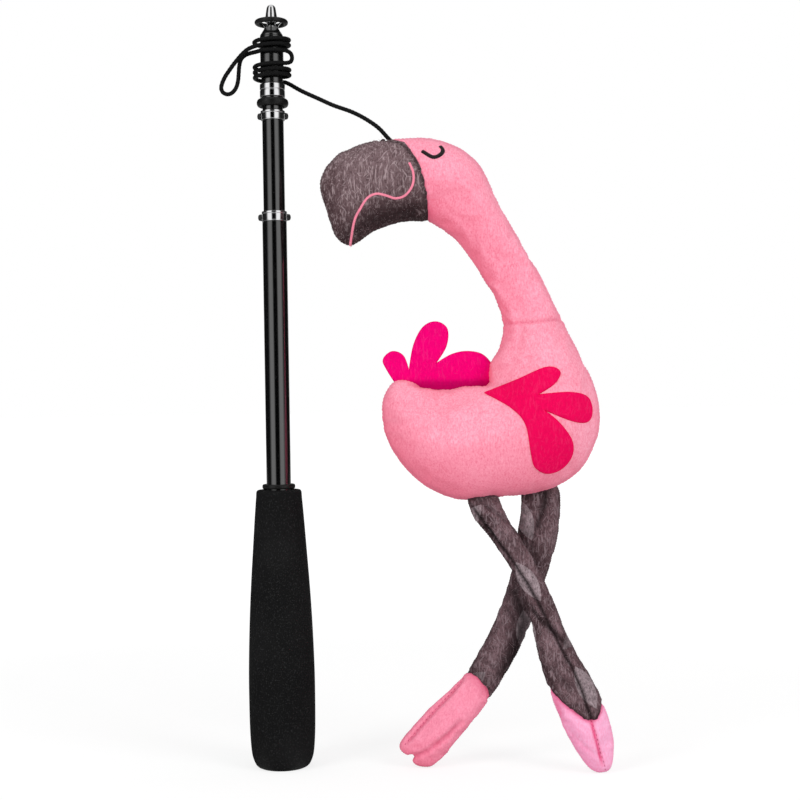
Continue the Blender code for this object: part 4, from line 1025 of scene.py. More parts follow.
@dataclass
class Line:
    """The braided line: knot, turns on the hub, the bight, more turns and the lead."""

    diameter: float = 2.0
    pitch: float = 2.45
    turn_radius: float = 6.85
    oval: float = 1.3
    drum_foot: float = 325.3
    upper_angles: Pair = (165.0, -390.0)
    upper_rise: float = 15.1
    lower_angles: Pair = (35.0, -900.0)
    lower_rise: float = 3.5
    crossing_rise: float = 9.85
    lead_start: float = 6.2
    lead_drop: float = 0.3
    toy_plane: float = -8.0
    lead_entry: Pair = (53.9, 292.9)
    knot_angle: float = 190.0
    knot_reach: float = 7.75
    knot_height: float = 341.8
    knot_size: float = 0.62
    knot_wire: float = 0.72
    ring_step: float = 0.34
    sides: int = 16
    bight: Triples = (
        (-7.4, -4.25, 12.1), (-10.6, -2.9, 11.2), (-13.2, -2.0, 9.5), (-15.5, -1.5, 7.2), (-17.9, -1.0, 4.5),
        (-20.1, -0.5, 1.7), (-22.2, -0.2, -1.3), (-23.6, 0.0, -4.3), (-24.0, 0.0, -6.7), (-23.1, 0.1, -8.5),
        (-21.1, 0.2, -9.3), (-19.0, 0.3, -8.6), (-17.2, 0.5, -6.4), (-16.2, 0.7, -3.3), (-15.8, 0.9, 0.5),
        (-15.5, 1.2, 4.1), (-14.6, 1.3, 7.3), (-12.6, 0.9, 9.1), (-9.9, -0.6, 9.7), (-6.9, -3.3, 9.7),
    )
    arc: Triples = (
        (4.8, -5.6, 9.85), (7.2, -3.9, 9.8), (9.0, -2.3, 8.9), (9.6, -1.7, 7.0), (9.0, -2.2, 5.1),
        (7.2, -3.9, 4.1), (5.0, -5.4, 3.85),
    )
    lead_sag: Pairs = ((0.15, 0.0), (0.33, 0.75), (0.47, 1.4), (0.65, 3.0), (0.79, 3.2), (0.91, 2.3))

    def _on_hub(self, angle: float, height: float) -> Triple:
        """Returns the point where the line lies on the hub at an angle, at a height over the drum's foot."""
        turn = math.radians(angle)
        radius = self.turn_radius + self.oval * math.sin(turn) ** 2
        return (radius * math.sin(turn), -radius * math.cos(turn), self.drum_foot + height)

    def _turns(self, angles: Pair, rise: float) -> list[Triple]:
        """Returns the points of a helix whose height at the front is the rise."""
        first, last = angles
        count = round(abs(last - first) / 15)
        steps = [first + (last - first) * step / count for step in range(count + 1)]
        return [self._on_hub(angle, rise + self.pitch * angle / 360) for angle in steps]

    def route(self) -> Array:
        """Returns the line's whole route, from its knot to the toy."""
        bight, arc = (np.add(points, (0, 0, self.drum_foot)) for points in (self.bight, self.arc))
        crossing = [self._on_hub(angle, self.crossing_rise) for angle in (-30, -15, 0, 15, 28)]
        lower = self._turns(self.lower_angles, self.lower_rise)
        start = np.add(lower[-1], (self.lead_start, 0, -self.lead_drop))
        end = np.array([self.lead_entry[0], self.toy_plane, self.lead_entry[1]])
        lead = [start + (end - start) * share + (0, 0, rise) for share, rise in self.lead_sag]
        return np.vstack([self._turns(self.upper_angles, self.upper_rise), bight, crossing, arc, lower,
                          np.add(lower[-1], (2.6, 0, -0.1)), start, lead, end, end + (2.2, 0.0, -2.2)])

    def build(self, shop: Workshop) -> None:
        """Builds the line as one tube with raised strands, and its knot."""
        line = smooth_line(self.route(), self.ring_step)
        lengths = np.arange(len(line)) * np.linalg.norm(line[1] - line[0])
        angles = circle(self.sides)
        phase = lengths[:, None] * (math.tau / (0.85 * self.diameter * 2))
        strands = np.abs(np.sin(2 * angles + phase)) * np.abs(np.sin(2 * angles - phase))
        radii = self.diameter / 2 * (0.94 + 0.09 * strands)
        ends = np.sqrt(np.clip(1 - (1 - np.arange(4) / 3.2) ** 2, 0.05, 1))
        radii[:4] *= ends[:, None]
        radii[-4:] *= ends[::-1, None]
        tube = ringed("braided_line", tube_rings(line, radii, self.sides), unit=self.diameter)
        shop.dress(tube, Finishes.LINE)
        knot = self._knot(shop)
        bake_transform(tube)
        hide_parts("line_upper_turns", "line_bight", "line_lower_turns", "line_lead")

    def _knot(self, shop: Workshop) -> Piece:
        """Builds the small overhand knot at the back of the hub."""
        turn, away, size = math.radians(self.knot_angle), self.knot_reach, self.knot_size
        outward = np.array([math.sin(turn), -math.cos(turn), 0.0])
        centre = np.array([away * outward[0], away * outward[1], self.knot_height])
        up = np.array([0.0, 0.0, 1.0])
        beside, angles = np.cross(outward, up), circle(96)[:, None]
        side, rise = np.sin(angles) + 1.6 * np.sin(2 * angles), np.cos(angles) - 1.6 * np.cos(2 * angles)
        loop = centre + size * side * beside + size * rise * up - size * np.sin(3 * angles) * outward
        closed = np.vstack([loop[-3:], loop, loop[:3]])
        rings = tube_rings(closed, np.full(len(closed), self.knot_wire), 12)[3:-3]
        knot = ringed("line_overhand_knot", rings, unit=self.diameter)
        return shop.finished(knot, Finishes.LINE, Body.TIP, "line_knot")


@dataclass
class Weave:
    """A flat triangle mesh of a cloth panel, in the toy's plane."""

    points: Array
    triangles: Array
    rim: Array


def inside(points: Array, loop: Array) -> Array:
    """Returns which flat points lie inside a closed loop."""
    x, z = points[:, 0][:, None], points[:, 1][:, None]
    first, second = loop, np.roll(loop, -1, axis=0)
    spans = (first[:, 1] > z) != (second[:, 1] > z)
    rise = np.where(second[:, 1] == first[:, 1], 1e-9, second[:, 1] - first[:, 1])
    across = (second[:, 0] - first[:, 0]) * (z - first[:, 1]) / rise + first[:, 0]
    return (spans & (x < across)).sum(axis=1) % 2 == 1


def distance_to(points: Array, line: Array) -> Array:
    """Returns each point's distance to a line of closely spaced points."""
    least = np.full(len(points), np.inf)
    for start in range(0, len(line), 64):
        part = line[start:start + 64]
        gaps = np.linalg.norm(points[:, None, :] - part[None, :, :], axis=2).min(axis=1)
        least = np.minimum(least, gaps)
    return least


def seam_ends(loop: Array, seam: Array) -> list[int]:
    """Returns the numbers of the loop's points where a seam starts and ends."""
    return [int(np.argmin(np.linalg.norm(loop - seam[at], axis=1))) for at in (0, -1)]


def cut_panel(loop: Array, seams: list[Array], spacing: float, rows: tuple[float, ...]) -> Weave:
    """Meshes the inside of a loop with triangles.

    Args:
        loop: The panel's edge, at even steps.
        seams: Lines inside it that triangles mustn't cross; their ends are on the edge.
        spacing: The distance between points in the middle of the panel.
        rows: Distances from the edge of the rows of points that follow it.

    Returns:
        The panel, whose first points are the edge's.
    """
    ahead = np.roll(loop, -1, axis=0) - np.roll(loop, 1, axis=0)
    inwards = np.stack([-ahead[:, 1], ahead[:, 0]], axis=1) / np.linalg.norm(ahead, axis=1, keepdims=True)
    if not inside(loop[:1] + inwards[:1] * 0.3, loop)[0]:
        inwards = -inwards
    fine_loop = even_line(np.vstack([loop, loop[:1]]), 0.3)

    def kept(points: Array, away: float) -> Array:
        """Returns the points inside the loop that lie further from it than this."""
        return points[inside(points, loop) & (distance_to(points, fine_loop) > away)]

    low, high = loop.min(axis=0), loop.max(axis=0)
    columns = np.arange(low[0], high[0], spacing)
    grid = np.vstack([np.stack([columns + (number % 2) * spacing / 2, np.full(len(columns), level)], axis=1)
                      for number, level in enumerate(np.arange(low[1], high[1], spacing * 0.866))])
    inner = np.vstack([*(kept(loop + inwards * row, row * 0.93) for row in rows),
                       kept(grid, rows[-1] + spacing * 0.6)])
    if seams:
        lines = np.vstack([even_line(seam, 0.3) for seam in seams])
        inner = inner[distance_to(inner, lines) > spacing * 0.45]
    points, edges, offset = [loop], [], len(loop)
    for seam in seams:
        first, last = seam_ends(loop, seam)
        numbers = [first, *range(offset, offset + len(seam) - 2), last]
        points.append(seam[1:-1])
        edges += list(zip(numbers, numbers[1:]))
        offset += len(seam) - 2
    points = [Vector(point) for point in np.vstack([*points, inner])]
    flat, _, triangles, sources, *_ = geometry.delaunay_2d_cdt(points, edges, [list(range(len(loop)))], 1, 1e-5)
    rim = np.array([any(number < len(loop) for number in source) for source in sources])
    return Weave(np.array([tuple(point) for point in flat]), np.array(triangles), rim)


def blown(panel: Weave, rounds: int = 600, least: float = 1e-8) -> Array:
    """Solves the height of a film that is blown up over a panel and held at its edge.

    Args:
        panel: The flat panel.
        rounds: How many steps the solution may take.
        least: The share of the load at which it is close enough.

    Returns:
        The film's height at each point; its root is close to a round section.
    """
    count = len(panel.points)
    corners = panel.points[panel.triangles]
    load = np.zeros(count)
    firsts, seconds, weights = [], [], []
    sides = [corners[:, (k + 2) % 3] - corners[:, (k + 1) % 3] for k in range(3)]
    area = 0.5 * np.abs(sides[0][:, 0] * sides[1][:, 1] - sides[0][:, 1] * sides[1][:, 0])
    for k in range(3):
        one, other = -sides[(k + 1) % 3], sides[(k + 2) % 3]
        weights.append(0.5 * (one * other).sum(axis=1) / (2 * np.maximum(area, 1e-9)))
        firsts.append(panel.triangles[:, (k + 1) % 3])
        seconds.append(panel.triangles[:, (k + 2) % 3])
        load += np.bincount(panel.triangles[:, k], area * 4 / 3, count)
    first, second, weight = np.concatenate(firsts), np.concatenate(seconds), np.concatenate(weights)
    free = ~panel.rim

    def pull(values: Array) -> Array:
        """Returns the film's pull at each free point."""
        flow = weight * (values[first] - values[second])
        return (np.bincount(first, flow, count) - np.bincount(second, flow, count)) * free

    own = np.bincount(first, weight, count) + np.bincount(second, weight, count)
    ease = np.where(free, 1 / np.maximum(own, 1e-6), 0.0)
    height, rest = np.zeros(count), load * free
    step = ease * rest
    along, size = step.copy(), rest @ step
    for _ in range(rounds):
        pulled = pull(along)
        share = size / max(along @ pulled, 1e-12)
        height += share * along
        rest -= share * pulled
        step = ease * rest
        fresh = rest @ step
        if fresh < least * load.sum():
            break
        along, size = step + along * (fresh / size), fresh
    return np.maximum(height, 0.0)


def corner_loop(outline: Pairs, corners: tuple[int, ...], step: float) -> Array:
    """Runs a smooth loop through points, some of which are sharp corners, the first among them."""
    points, ends = np.array([*outline, outline[0]]), (*corners[1:], len(outline))
    return np.vstack([smooth_line(points[first:last + 1], step)[:-1] for first, last in zip(corners, ends)])


def bell(away: Array, width: float) -> Array:
    """Returns 1 at no distance, and less and less past a width."""
    return np.exp(-(away / width) ** 2)


def gap_to(flat: Array, line: Pairs) -> Array:
    """Returns flat points' distances to the smooth line through a few points."""
    return distance_to(flat, even_line(smooth_line(np.array(line), 1.0), 0.25))


@dataclass
class Crease:
    """A seam, fold or tuck that is pressed into a stuffed form, with a painted shade along it; one of no depth is only
    a band of painted shade.
    """

    line: Pairs
    depth: float
    width: float
    dark: float = 0.6
    side: Side | None = None


@dataclass
class StuffedForm:
    """Two cloth panels sewn along their edge and filled.

    Its seams divide it into cloths, and its planes say how far from the
    viewer its middle lies at each height.
    """

    name: str
    outline: Pairs
    planes: Pairs
    fullness: float
    spacing: float = 2.2
    step: float = 1.7
    rows: tuple[float, ...] = (0.35, 1.0, 2.1)
    seams: tuple[Pairs, ...] = ()
    creases: tuple[Crease, ...] = ()
    pucker: float = 0.12
    pucker_length: float = 6.5
    floor: float | None = None
    pressure: float = 4.0
    limit: float = 1.6
    frames: int = 20
    seam_depth: float = 0.75
    seam_painted_shade: float = 0.75

    def loop(self) -> Array:
        """Returns the form's outline at even steps."""
        loop = smooth_line(np.array(self.outline), self.step, closed=True)
        if self.floor is not None:
            loop[:, 1] = np.maximum(loop[:, 1], self.floor)
        return loop

    def build(self) -> Piece:
        """Builds the filled form as one closed piece, each cloth with its own material number."""
        loop = self.loop()
        seams = [smooth_line(np.array(seam), self.spacing * 0.7) for seam in self.seams]
        panel = cut_panel(loop, seams, self.spacing, self.rows)
        depth = self.fullness * np.sqrt(blown(panel))
        x, z = panel.points.T
        middle, count = self._middle(z), len(panel.points)
        behind = np.arange(count)
        behind[~panel.rim] = count + np.arange((~panel.rim).sum())
        points = np.vstack([np.stack([x, middle - depth, z], axis=1),
                            np.stack([x, middle + depth, z], axis=1)[~panel.rim]])
        piece = piece_from(self.name, points, panel.triangles.tolist() + behind[panel.triangles][:, ::-1].tolist())
        numbers = self._cloths(panel, loop, seams)
        piece.data.polygons.foreach_set("material_index", np.concatenate([numbers, numbers]).astype(np.int32))
        group = piece.vertex_groups.new(name="seam")
        group.add([int(number) for number in np.flatnonzero(panel.rim)], 1.0, "REPLACE")
        self._fill(piece)
        self._subdivide(piece)
        self._press(piece, loop)
        return piece

    def cloths(self, *names: str) -> list[Piece]:
        """Builds the filled form and returns each of its cloths as a closed piece of its own."""
        form = self.build()
        made = [split_cloth(form, number, name) for number, name in enumerate(names)]
        bpy.data.objects.remove(form)
        return made

    def _middle(self, heights: Array) -> Array:
        """Returns how far from the viewer the form's middle lies at each height."""
        return np.interp(heights, *np.array(self.planes).T)

    def _cloths(self, panel: Weave, loop: Array, seams: list[Array]) -> Array:
        """Returns each triangle's cloth: 0, or 1 and up past each seam away from the loop's start."""
        middles = panel.points[panel.triangles].mean(axis=1)
        numbers = np.zeros(len(middles), int)
        for order, seam in enumerate(seams):
            first, last = sorted(seam_ends(loop, seam))
            arc = loop[first:last + 1]
            line = seam if np.linalg.norm(seam[0] - arc[-1]) < np.linalg.norm(seam[-1] - arc[-1]) else seam[::-1]
            numbers[inside(middles, np.vstack([arc, line[1:-1]]))] = order + 1
        return numbers

    def _fill(self, piece: Piece) -> None:
        """Blows the form up with Cloth, its seam held, and limits how far each point moves."""
        scene, start = bpy.context.scene, points_of(piece.data)
        settings = piece.modifiers.new("filling", "CLOTH").settings
        for label, value in (("quality", 6), ("mass", 0.05), ("tension_stiffness", 12.0),
                             ("compression_stiffness", 12.0), ("shear_stiffness", 6.0), ("bending_stiffness", 0.15),
                             ("vertex_group_mass", "seam"), ("use_pressure", True),
                             ("uniform_pressure_force", self.pressure), ("shrink_min", -0.035)):
            setattr(settings, label, value)
        settings.effector_weights.gravity = 0.0
        for number in range(1, self.frames + 1):
            scene.frame_set(number)
        filled = applied(piece)
        moved = points_of(filled) - start
        bpy.data.meshes.remove(filled)
        scene.frame_set(1)
        far = np.linalg.norm(moved, axis=1, keepdims=True) / MM
        moved *= np.minimum(1.0, self.limit / np.maximum(far, 1e-6))
        LOG.info("%s: filling moved it %.2f mm on average", piece.name, float(np.minimum(far, self.limit).mean()))
        piece.data.vertices.foreach_set("co", (start + moved).ravel())

    def _subdivide(self, piece: Piece) -> None:
        """Subdivides the form once."""
        finer = piece.modifiers.new("finer", "SUBSURF")
        finer.levels = finer.render_levels = 1
        mesh = applied(piece)
        piece.vertex_groups.clear()
        piece.data = mesh

    def _press(self, piece: Piece, loop: Array) -> None:
        """Presses puckers, seams and folds into the form, and marks painted shade along its edge, seams and folds and
        where it faces down or left.
        """
        mesh = piece.data
        points = points_of(mesh) / MM
        normals = np.zeros(points.size)
        mesh.vertex_normals.foreach_get("vector", normals)
        normals, flat = normals.reshape(-1, 3), points[:, [0, 2]]
        nearest = np.array([int(np.argmin(((loop - point) ** 2).sum(axis=1))) for point in flat])
        from_edge = np.linalg.norm(flat - loop[nearest], axis=1)
        along = nearest * self.step
        wave = np.sin(along * math.tau / self.pucker_length + 1.7 * np.sin(along * 0.21))
        wave += 0.6 * np.sin(along * math.tau / (self.pucker_length * 0.61) + 2.1 * np.cos(along * 0.13))
        side = np.sign(points[:, 1] - self._middle(points[:, 2]))
        shift = -self.pucker * (0.5 + 0.5 * wave) * bell(from_edge - 2.5, 3.2)
        shift -= 0.35 * bell(from_edge, 0.7)
        # Painted shade along the outline, where the cloth turns into the edge seam; the seams and creases below add
        # theirs.
        dark = 0.28 * bell(from_edge, 1.1)
        for line in self.seams:
            gap = gap_to(flat, line)
            shift -= self.seam_depth * bell(gap, 0.8)
            dark = np.maximum(dark, self.seam_painted_shade * bell(gap, 0.9))
        for crease in self.creases:
            gap = gap_to(flat, crease.line)
            first, last = (np.linalg.norm(flat - crease.line[at], axis=1) for at in (0, -1))
            fade = np.clip(np.minimum(first, last) / 5.0 + 0.35, 0, 1)
            if crease.side:
                fade *= side == crease.side.value
            press = bell(gap, crease.width) * fade
            shift -= crease.depth * press
            shift += 0.35 * crease.depth * bell(gap - 2.2 * crease.width, crease.width) * fade
            dark = np.maximum(dark, crease.dark * press)
        points += normals * shift[:, None]
        # Painted shade: points that face down or to the left, as if lit from above and the right, get the deeper tone.
        facing_light = 0.55 * normals[:, 0] + 0.35 * np.abs(normals[:, 1]) + 0.75 * normals[:, 2]
        deep = np.clip((0.4 - facing_light) / 0.95, 0.0, 1.0)
        if self.floor is not None:
            points[:, 2] = np.maximum(points[:, 2], self.floor)
        mesh.vertices.foreach_set("co", (points * MM).ravel())
        mark_cloth(mesh, dark, deep)
        mesh.update()


def mark_cloth(mesh: Mesh, dark: Array, deep: Array) -> None:
    """Gives a cloth what its nap reads, with each point's place, which bending doesn't change.

    Args:
        mesh: The cloth's mesh.
        dark: How much painted shade each point gets in its creases and seams.
        deep: How much painted shade each point gets from facing down or left.
    """
    for label, values in (("crease", dark), ("deep", deep)):
        mesh.attributes.new(label, "FLOAT", "POINT").data.foreach_set("value", values.astype(np.float32))
    places = points_of(mesh).astype(np.float32).ravel()
    mesh.attributes.new("rest", "FLOAT_VECTOR", "POINT").data.foreach_set("vector", places)


def split_cloth(piece: Piece, number: int, name: str) -> Piece:
    """Takes one cloth of a stuffed form as a closed piece of its own.

    Args:
        piece: The whole form.
        number: The cloth's material number.
        name: The new piece's name.

    Returns:
        The new piece; the form itself stays as it is.
    """
    built = bmesh.new()
    built.from_mesh(piece.data)
    bmesh.ops.delete(built, geom=[face for face in built.faces if face.material_index != number], context="FACES")
    rim = [edge for edge in built.edges if edge.is_boundary]
    closed = bmesh.ops.holes_fill(built, edges=rim)
    bmesh.ops.triangulate(built, faces=closed["faces"])
    for face in built.faces:
        face.material_index = 0
    bmesh.ops.recalc_face_normals(built, faces=built.faces)
    mesh = bpy.data.meshes.new(name)
    built.to_mesh(mesh)
    built.free()
    mesh.shade_smooth()
    return linked(name, mesh)


class Surface:
    """A finished skin that felt and thread are laid on."""

    REACH = 80.0
    MIDDLE = -8.0

    def __init__(self, *pieces: Piece) -> None:
        """Takes the pieces of the skin."""
        built = bmesh.new()
        for piece in pieces:
            built.from_mesh(piece.data)
        self.tree = BVHTree.FromBMesh(built)
        built.free()

    def under(self, flat: Array, side: Side) -> tuple[Array, Array]:
        """Finds the skin under flat points.

        Args:
            flat: Pairs of x and z, in millimetres.
            side: The side of the toy to look from.

        Returns:
            The points on the skin, in millimetres, and the skin's normals there.
        """
        places, normals = [], []
        for x, z in flat:
            origin = Vector((x * MM, side.value * self.REACH * MM, z * MM))
            place, normal, _, _ = self.tree.ray_cast(origin, Vector((0, -side.value, 0)))
            if place is None:
                place, normal, _, _ = self.tree.find_nearest(Vector((x * MM, self.MIDDLE * MM, z * MM)))
            if normal.y * side.value < 0:
                normal = -normal
            places.append(place / MM)
            normals.append(normal)
        return np.array(places), np.array(normals)


def rim_edges(triangles: Array) -> list[tuple[int, int]]:
    """Returns the edges that only one triangle has, in that triangle's direction."""
    pairs = [(int(one[k]), int(one[(k + 1) % 3])) for one in triangles for k in range(3)]
    known = set(pairs)
    return [pair for pair in pairs if (pair[1], pair[0]) not in known]


def felt_slab(name: str, panel: Weave, lower: Array, upper: Array, bulge: float = 0.22) -> Piece:
    """Joins the two faces of a felt shape by a rounded edge.

    Args:
        name: The piece's name.
        panel: The flat shape.
        lower: How far from the viewer its lower face lies at each of the panel's points.
        upper: The same for its upper face.
        bulge: How far its edge stands out.

    Returns:
        The closed felt piece.
    """
    count, (x, z) = len(panel.points), panel.points.T
    lower, upper = (np.stack([x, depth, z], axis=1) for depth in (lower, upper))
    edges = rim_edges(panel.triangles)
    rim = sorted({number for edge in edges for number in edge})
    place = {number: 2 * count + order for order, number in enumerate(rim)}
    outward = np.zeros((count, 3))
    for first, second in edges:
        ahead = panel.points[second] - panel.points[first]
        turned_out = np.array([ahead[1], 0.0, -ahead[0]]) / max(np.linalg.norm(ahead), 1e-9)
        outward[first] += turned_out
        outward[second] += turned_out
    sizes = np.maximum(np.linalg.norm(outward, axis=1, keepdims=True), 1e-9)
    middle = (lower + upper) / 2 + outward / sizes * bulge
    faces = panel.triangles[:, ::-1].tolist() + (panel.triangles + count).tolist()
    for first, second in edges:
        faces.append((first, second, place[second], place[first]))
        faces.append((place[first], place[second], second + count, first + count))
    return piece_from(name, np.vstack([lower, upper, middle[rim]]), faces)


class Growth:
    """Geometry node trees for stitches and loose hairs, each built once."""

    def __init__(self) -> None:
        """Builds the trees."""
        self.stitches, self.hairs = self._stitches(), self._hairs()

    def _random(self, net: Net, take: object, low: object, high: object) -> Socket:
        """Returns a random number between two for each point, from the tree's seed."""
        return net.node("FunctionNodeRandomValue", {2: low, 3: high, "Seed": take["Seed"]},
                        data_type="FLOAT").outputs[1]

    def _laid(self, net: Net, facing: Socket, angle: Socket, inputs: dict) -> Socket:
        """Puts a piece on each point, turned in the plane that it lies in.

        Args:
            net: The tree's net.
            facing: The rotation that lays a piece on its surface.
            angle: How far it turns there.
            inputs: The other inputs by name: the points, the piece and its scale.

        Returns:
            The pieces as real geometry.
        """
        euler = net.out("FunctionNodeEulerToRotation", {0: net.out("CombineXYZ", {2: angle})})
        turn = net.out("FunctionNodeRotateRotation", {0: facing, 1: euler}, rotation_space="LOCAL")
        placed = net.out("GeometryNodeInstanceOnPoints", {**inputs, "Rotation": turn})
        return net.out("GeometryNodeRealizeInstances", {0: placed})

    def _stitches(self) -> Tree:
        """Threads laid across or along a line that carries its surface's normals."""
        net, take = Net.group("thread_stitches", {
            "Line": "Geometry", "Spacing": 0.0004, "Length": 0.0014, "Radius": 0.0002, "Turn": 0.0, "Wobble": 0.08,
            "Seed": 7, "Material": "Material"}, {"Threads": "Geometry"}, "GeometryNodeTree")
        curve = net.out("GeometryNodeMeshToCurve", {0: take["Line"]})
        cut = net.out("GeometryNodeResampleCurve", {0: curve, "Length": take["Spacing"]}, mode="LENGTH")
        bead = net.out("GeometryNodeMeshUVSphere", {"Segments": 7, "Rings": 6, "Radius": 1.0})
        size = net.out("CombineXYZ", {0: net.times(take["Length"], 0.5), 1: take["Radius"], 2: take["Radius"]})
        thread = net.out("GeometryNodeTransform", {0: bead, "Scale": size})
        normal = net.out("GeometryNodeInputNamedAttribute", {"Name": "face_normal"}, data_type="FLOAT_VECTOR")
        facing = net.out("FunctionNodeAxesToRotation", {0: normal, 1: net.out("GeometryNodeInputTangent")},
                         primary_axis="Z", secondary_axis="X")
        tilt = self._random(net, take, net.times(take["Wobble"], -1.0), take["Wobble"])
        real = self._laid(net, facing, net.plus(tilt, take["Turn"]), {"Points": cut, "Instance": thread})
        smooth = net.out("GeometryNodeSetShadeSmooth", {0: real})
        return net.close(Threads=net.out("GeometryNodeSetMaterial", {0: smooth, "Material": take["Material"]}))

    def _hairs(self) -> Tree:
        """Short curved hairs that lie on a surface in all directions."""
        net, take = Net.group("loose_hairs", {
            "Skin": "Geometry", "Density": 90000.0, "Length": 0.003, "Radius": 0.00005, "Seed": 11,
            "Material": "Material"}, {"Hairs": "Geometry"}, "GeometryNodeTree")
        spread = net.node("GeometryNodeDistributePointsOnFaces", {
            "Mesh": take["Skin"], "Density": take["Density"], "Seed": take["Seed"]}).outputs
        half = net.times(take["Length"], 0.5)
        start, middle, end = (net.out("CombineXYZ", place) for place in (
            {0: net.times(half, -1.0)}, {1: net.times(half, 0.16), 2: net.times(half, 0.08)}, {0: half}))
        bow = net.out("GeometryNodeCurveQuadraticBezier", {"Resolution": 4, "Start": start, "Middle": middle,
                                                           "End": end})
        ring = net.out("GeometryNodeCurvePrimitiveCircle", {"Resolution": 3, "Radius": take["Radius"]}, mode="RADIUS")
        hair = net.out("GeometryNodeCurveToMesh", {"Curve": bow, "Profile Curve": ring, "Fill Caps": True})
        real = self._laid(net, spread["Rotation"], self._random(net, take, 0.0, math.tau), {
            "Points": spread["Points"], "Instance": hair, "Scale": self._random(net, take, 0.6, 1.35)})
        return net.close(Hairs=net.out("GeometryNodeSetMaterial", {0: real, "Material": take["Material"]}))

    def grow(self, name: str, source: Mesh, tree: Tree, values: dict) -> Piece:
        """Runs a tree on a mesh and keeps its result as a plain piece.

        Args:
            name: The piece's name.
            source: The mesh that the tree starts from.
            tree: The geometry node tree.
            values: Its inputs by name.

        Returns:
            The piece, without its modifier.
        """
        made = linked(name, source)
        modifier = made.modifiers.new("growth", "NODES")
        modifier.node_group = tree
        for item in tree.interface.items_tree:
            if item.item_type == "SOCKET" and item.in_out == "INPUT" and item.name in values:
                modifier[item.identifier] = values[item.name]
        made.data = applied(made)
        return made

    def fluff(self, name: str, skin: Piece, shop: Workshop, density: float, size: Pair, seed: int) -> Piece:
        """Grows loose hairs on a skin, with their length and radius in millimetres, and gives them their finish."""
        hairs = self.grow(name, skin.data.copy(), self.hairs, {
            "Density": density, "Length": size[0] * MM, "Radius": size[1] * MM, "Seed": seed,
            "Material": Finishes.HAIR.material(shop.effects)})
        return hairs


def path_mesh(name: str, points: Array, normals: Array) -> Mesh:
    """Returns a line of edges that carries its surface's normals, for stitches."""
    mesh = bpy.data.meshes.new(name)
    edges = [(number, number + 1) for number in range(len(points) - 1)]
    mesh.from_pydata((points * MM).tolist(), edges, [])
    layer = mesh.attributes.new("face_normal", "FLOAT_VECTOR", "POINT")
    layer.data.foreach_set("vector", np.asarray(normals, np.float32).ravel())
    return mesh


@dataclass
class Seamwork:
    """Embroidery and stitching: threads along a line that is laid on a skin."""

    name: str
    line: Pairs
    finish: Finish
    body: Body
    spacing: float
    length: float
    radius: float
    turn: float
    lift: float = 0.08
    wobble: float = 0.08
    sides: tuple[Side, ...] = (Side.NEAR, Side.FAR)

    def build(self, shop: Workshop, growth: Growth, surface: Surface) -> None:
        """Lays the threads on each side and puts them on their body."""
        kernel = np.array([1, 2, 3, 2, 1]) / 9
        for side in self.sides:
            points, normals = surface.under(smooth_line(np.array(self.line), 0.5), side)
            padded = np.pad(normals, ((2, 2), (0, 0)), mode="edge")
            normals = np.stack([np.convolve(axis, kernel, mode="valid") for axis in padded.T], axis=1)
            name = f"{self.name}_{side.name.lower()}"
            piece = growth.grow(name, path_mesh(name, points + normals * self.lift, normals), growth.stitches, {
                "Spacing": self.spacing * MM, "Length": self.length * MM, "Radius": self.radius * MM,
                "Turn": self.turn, "Wobble": self.wobble, "Material": self.finish.material(shop.effects)})
            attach(piece, self.body.value)
            LOG.info("%s: %d faces on %s", name, len(piece.data.polygons), self.body.value)


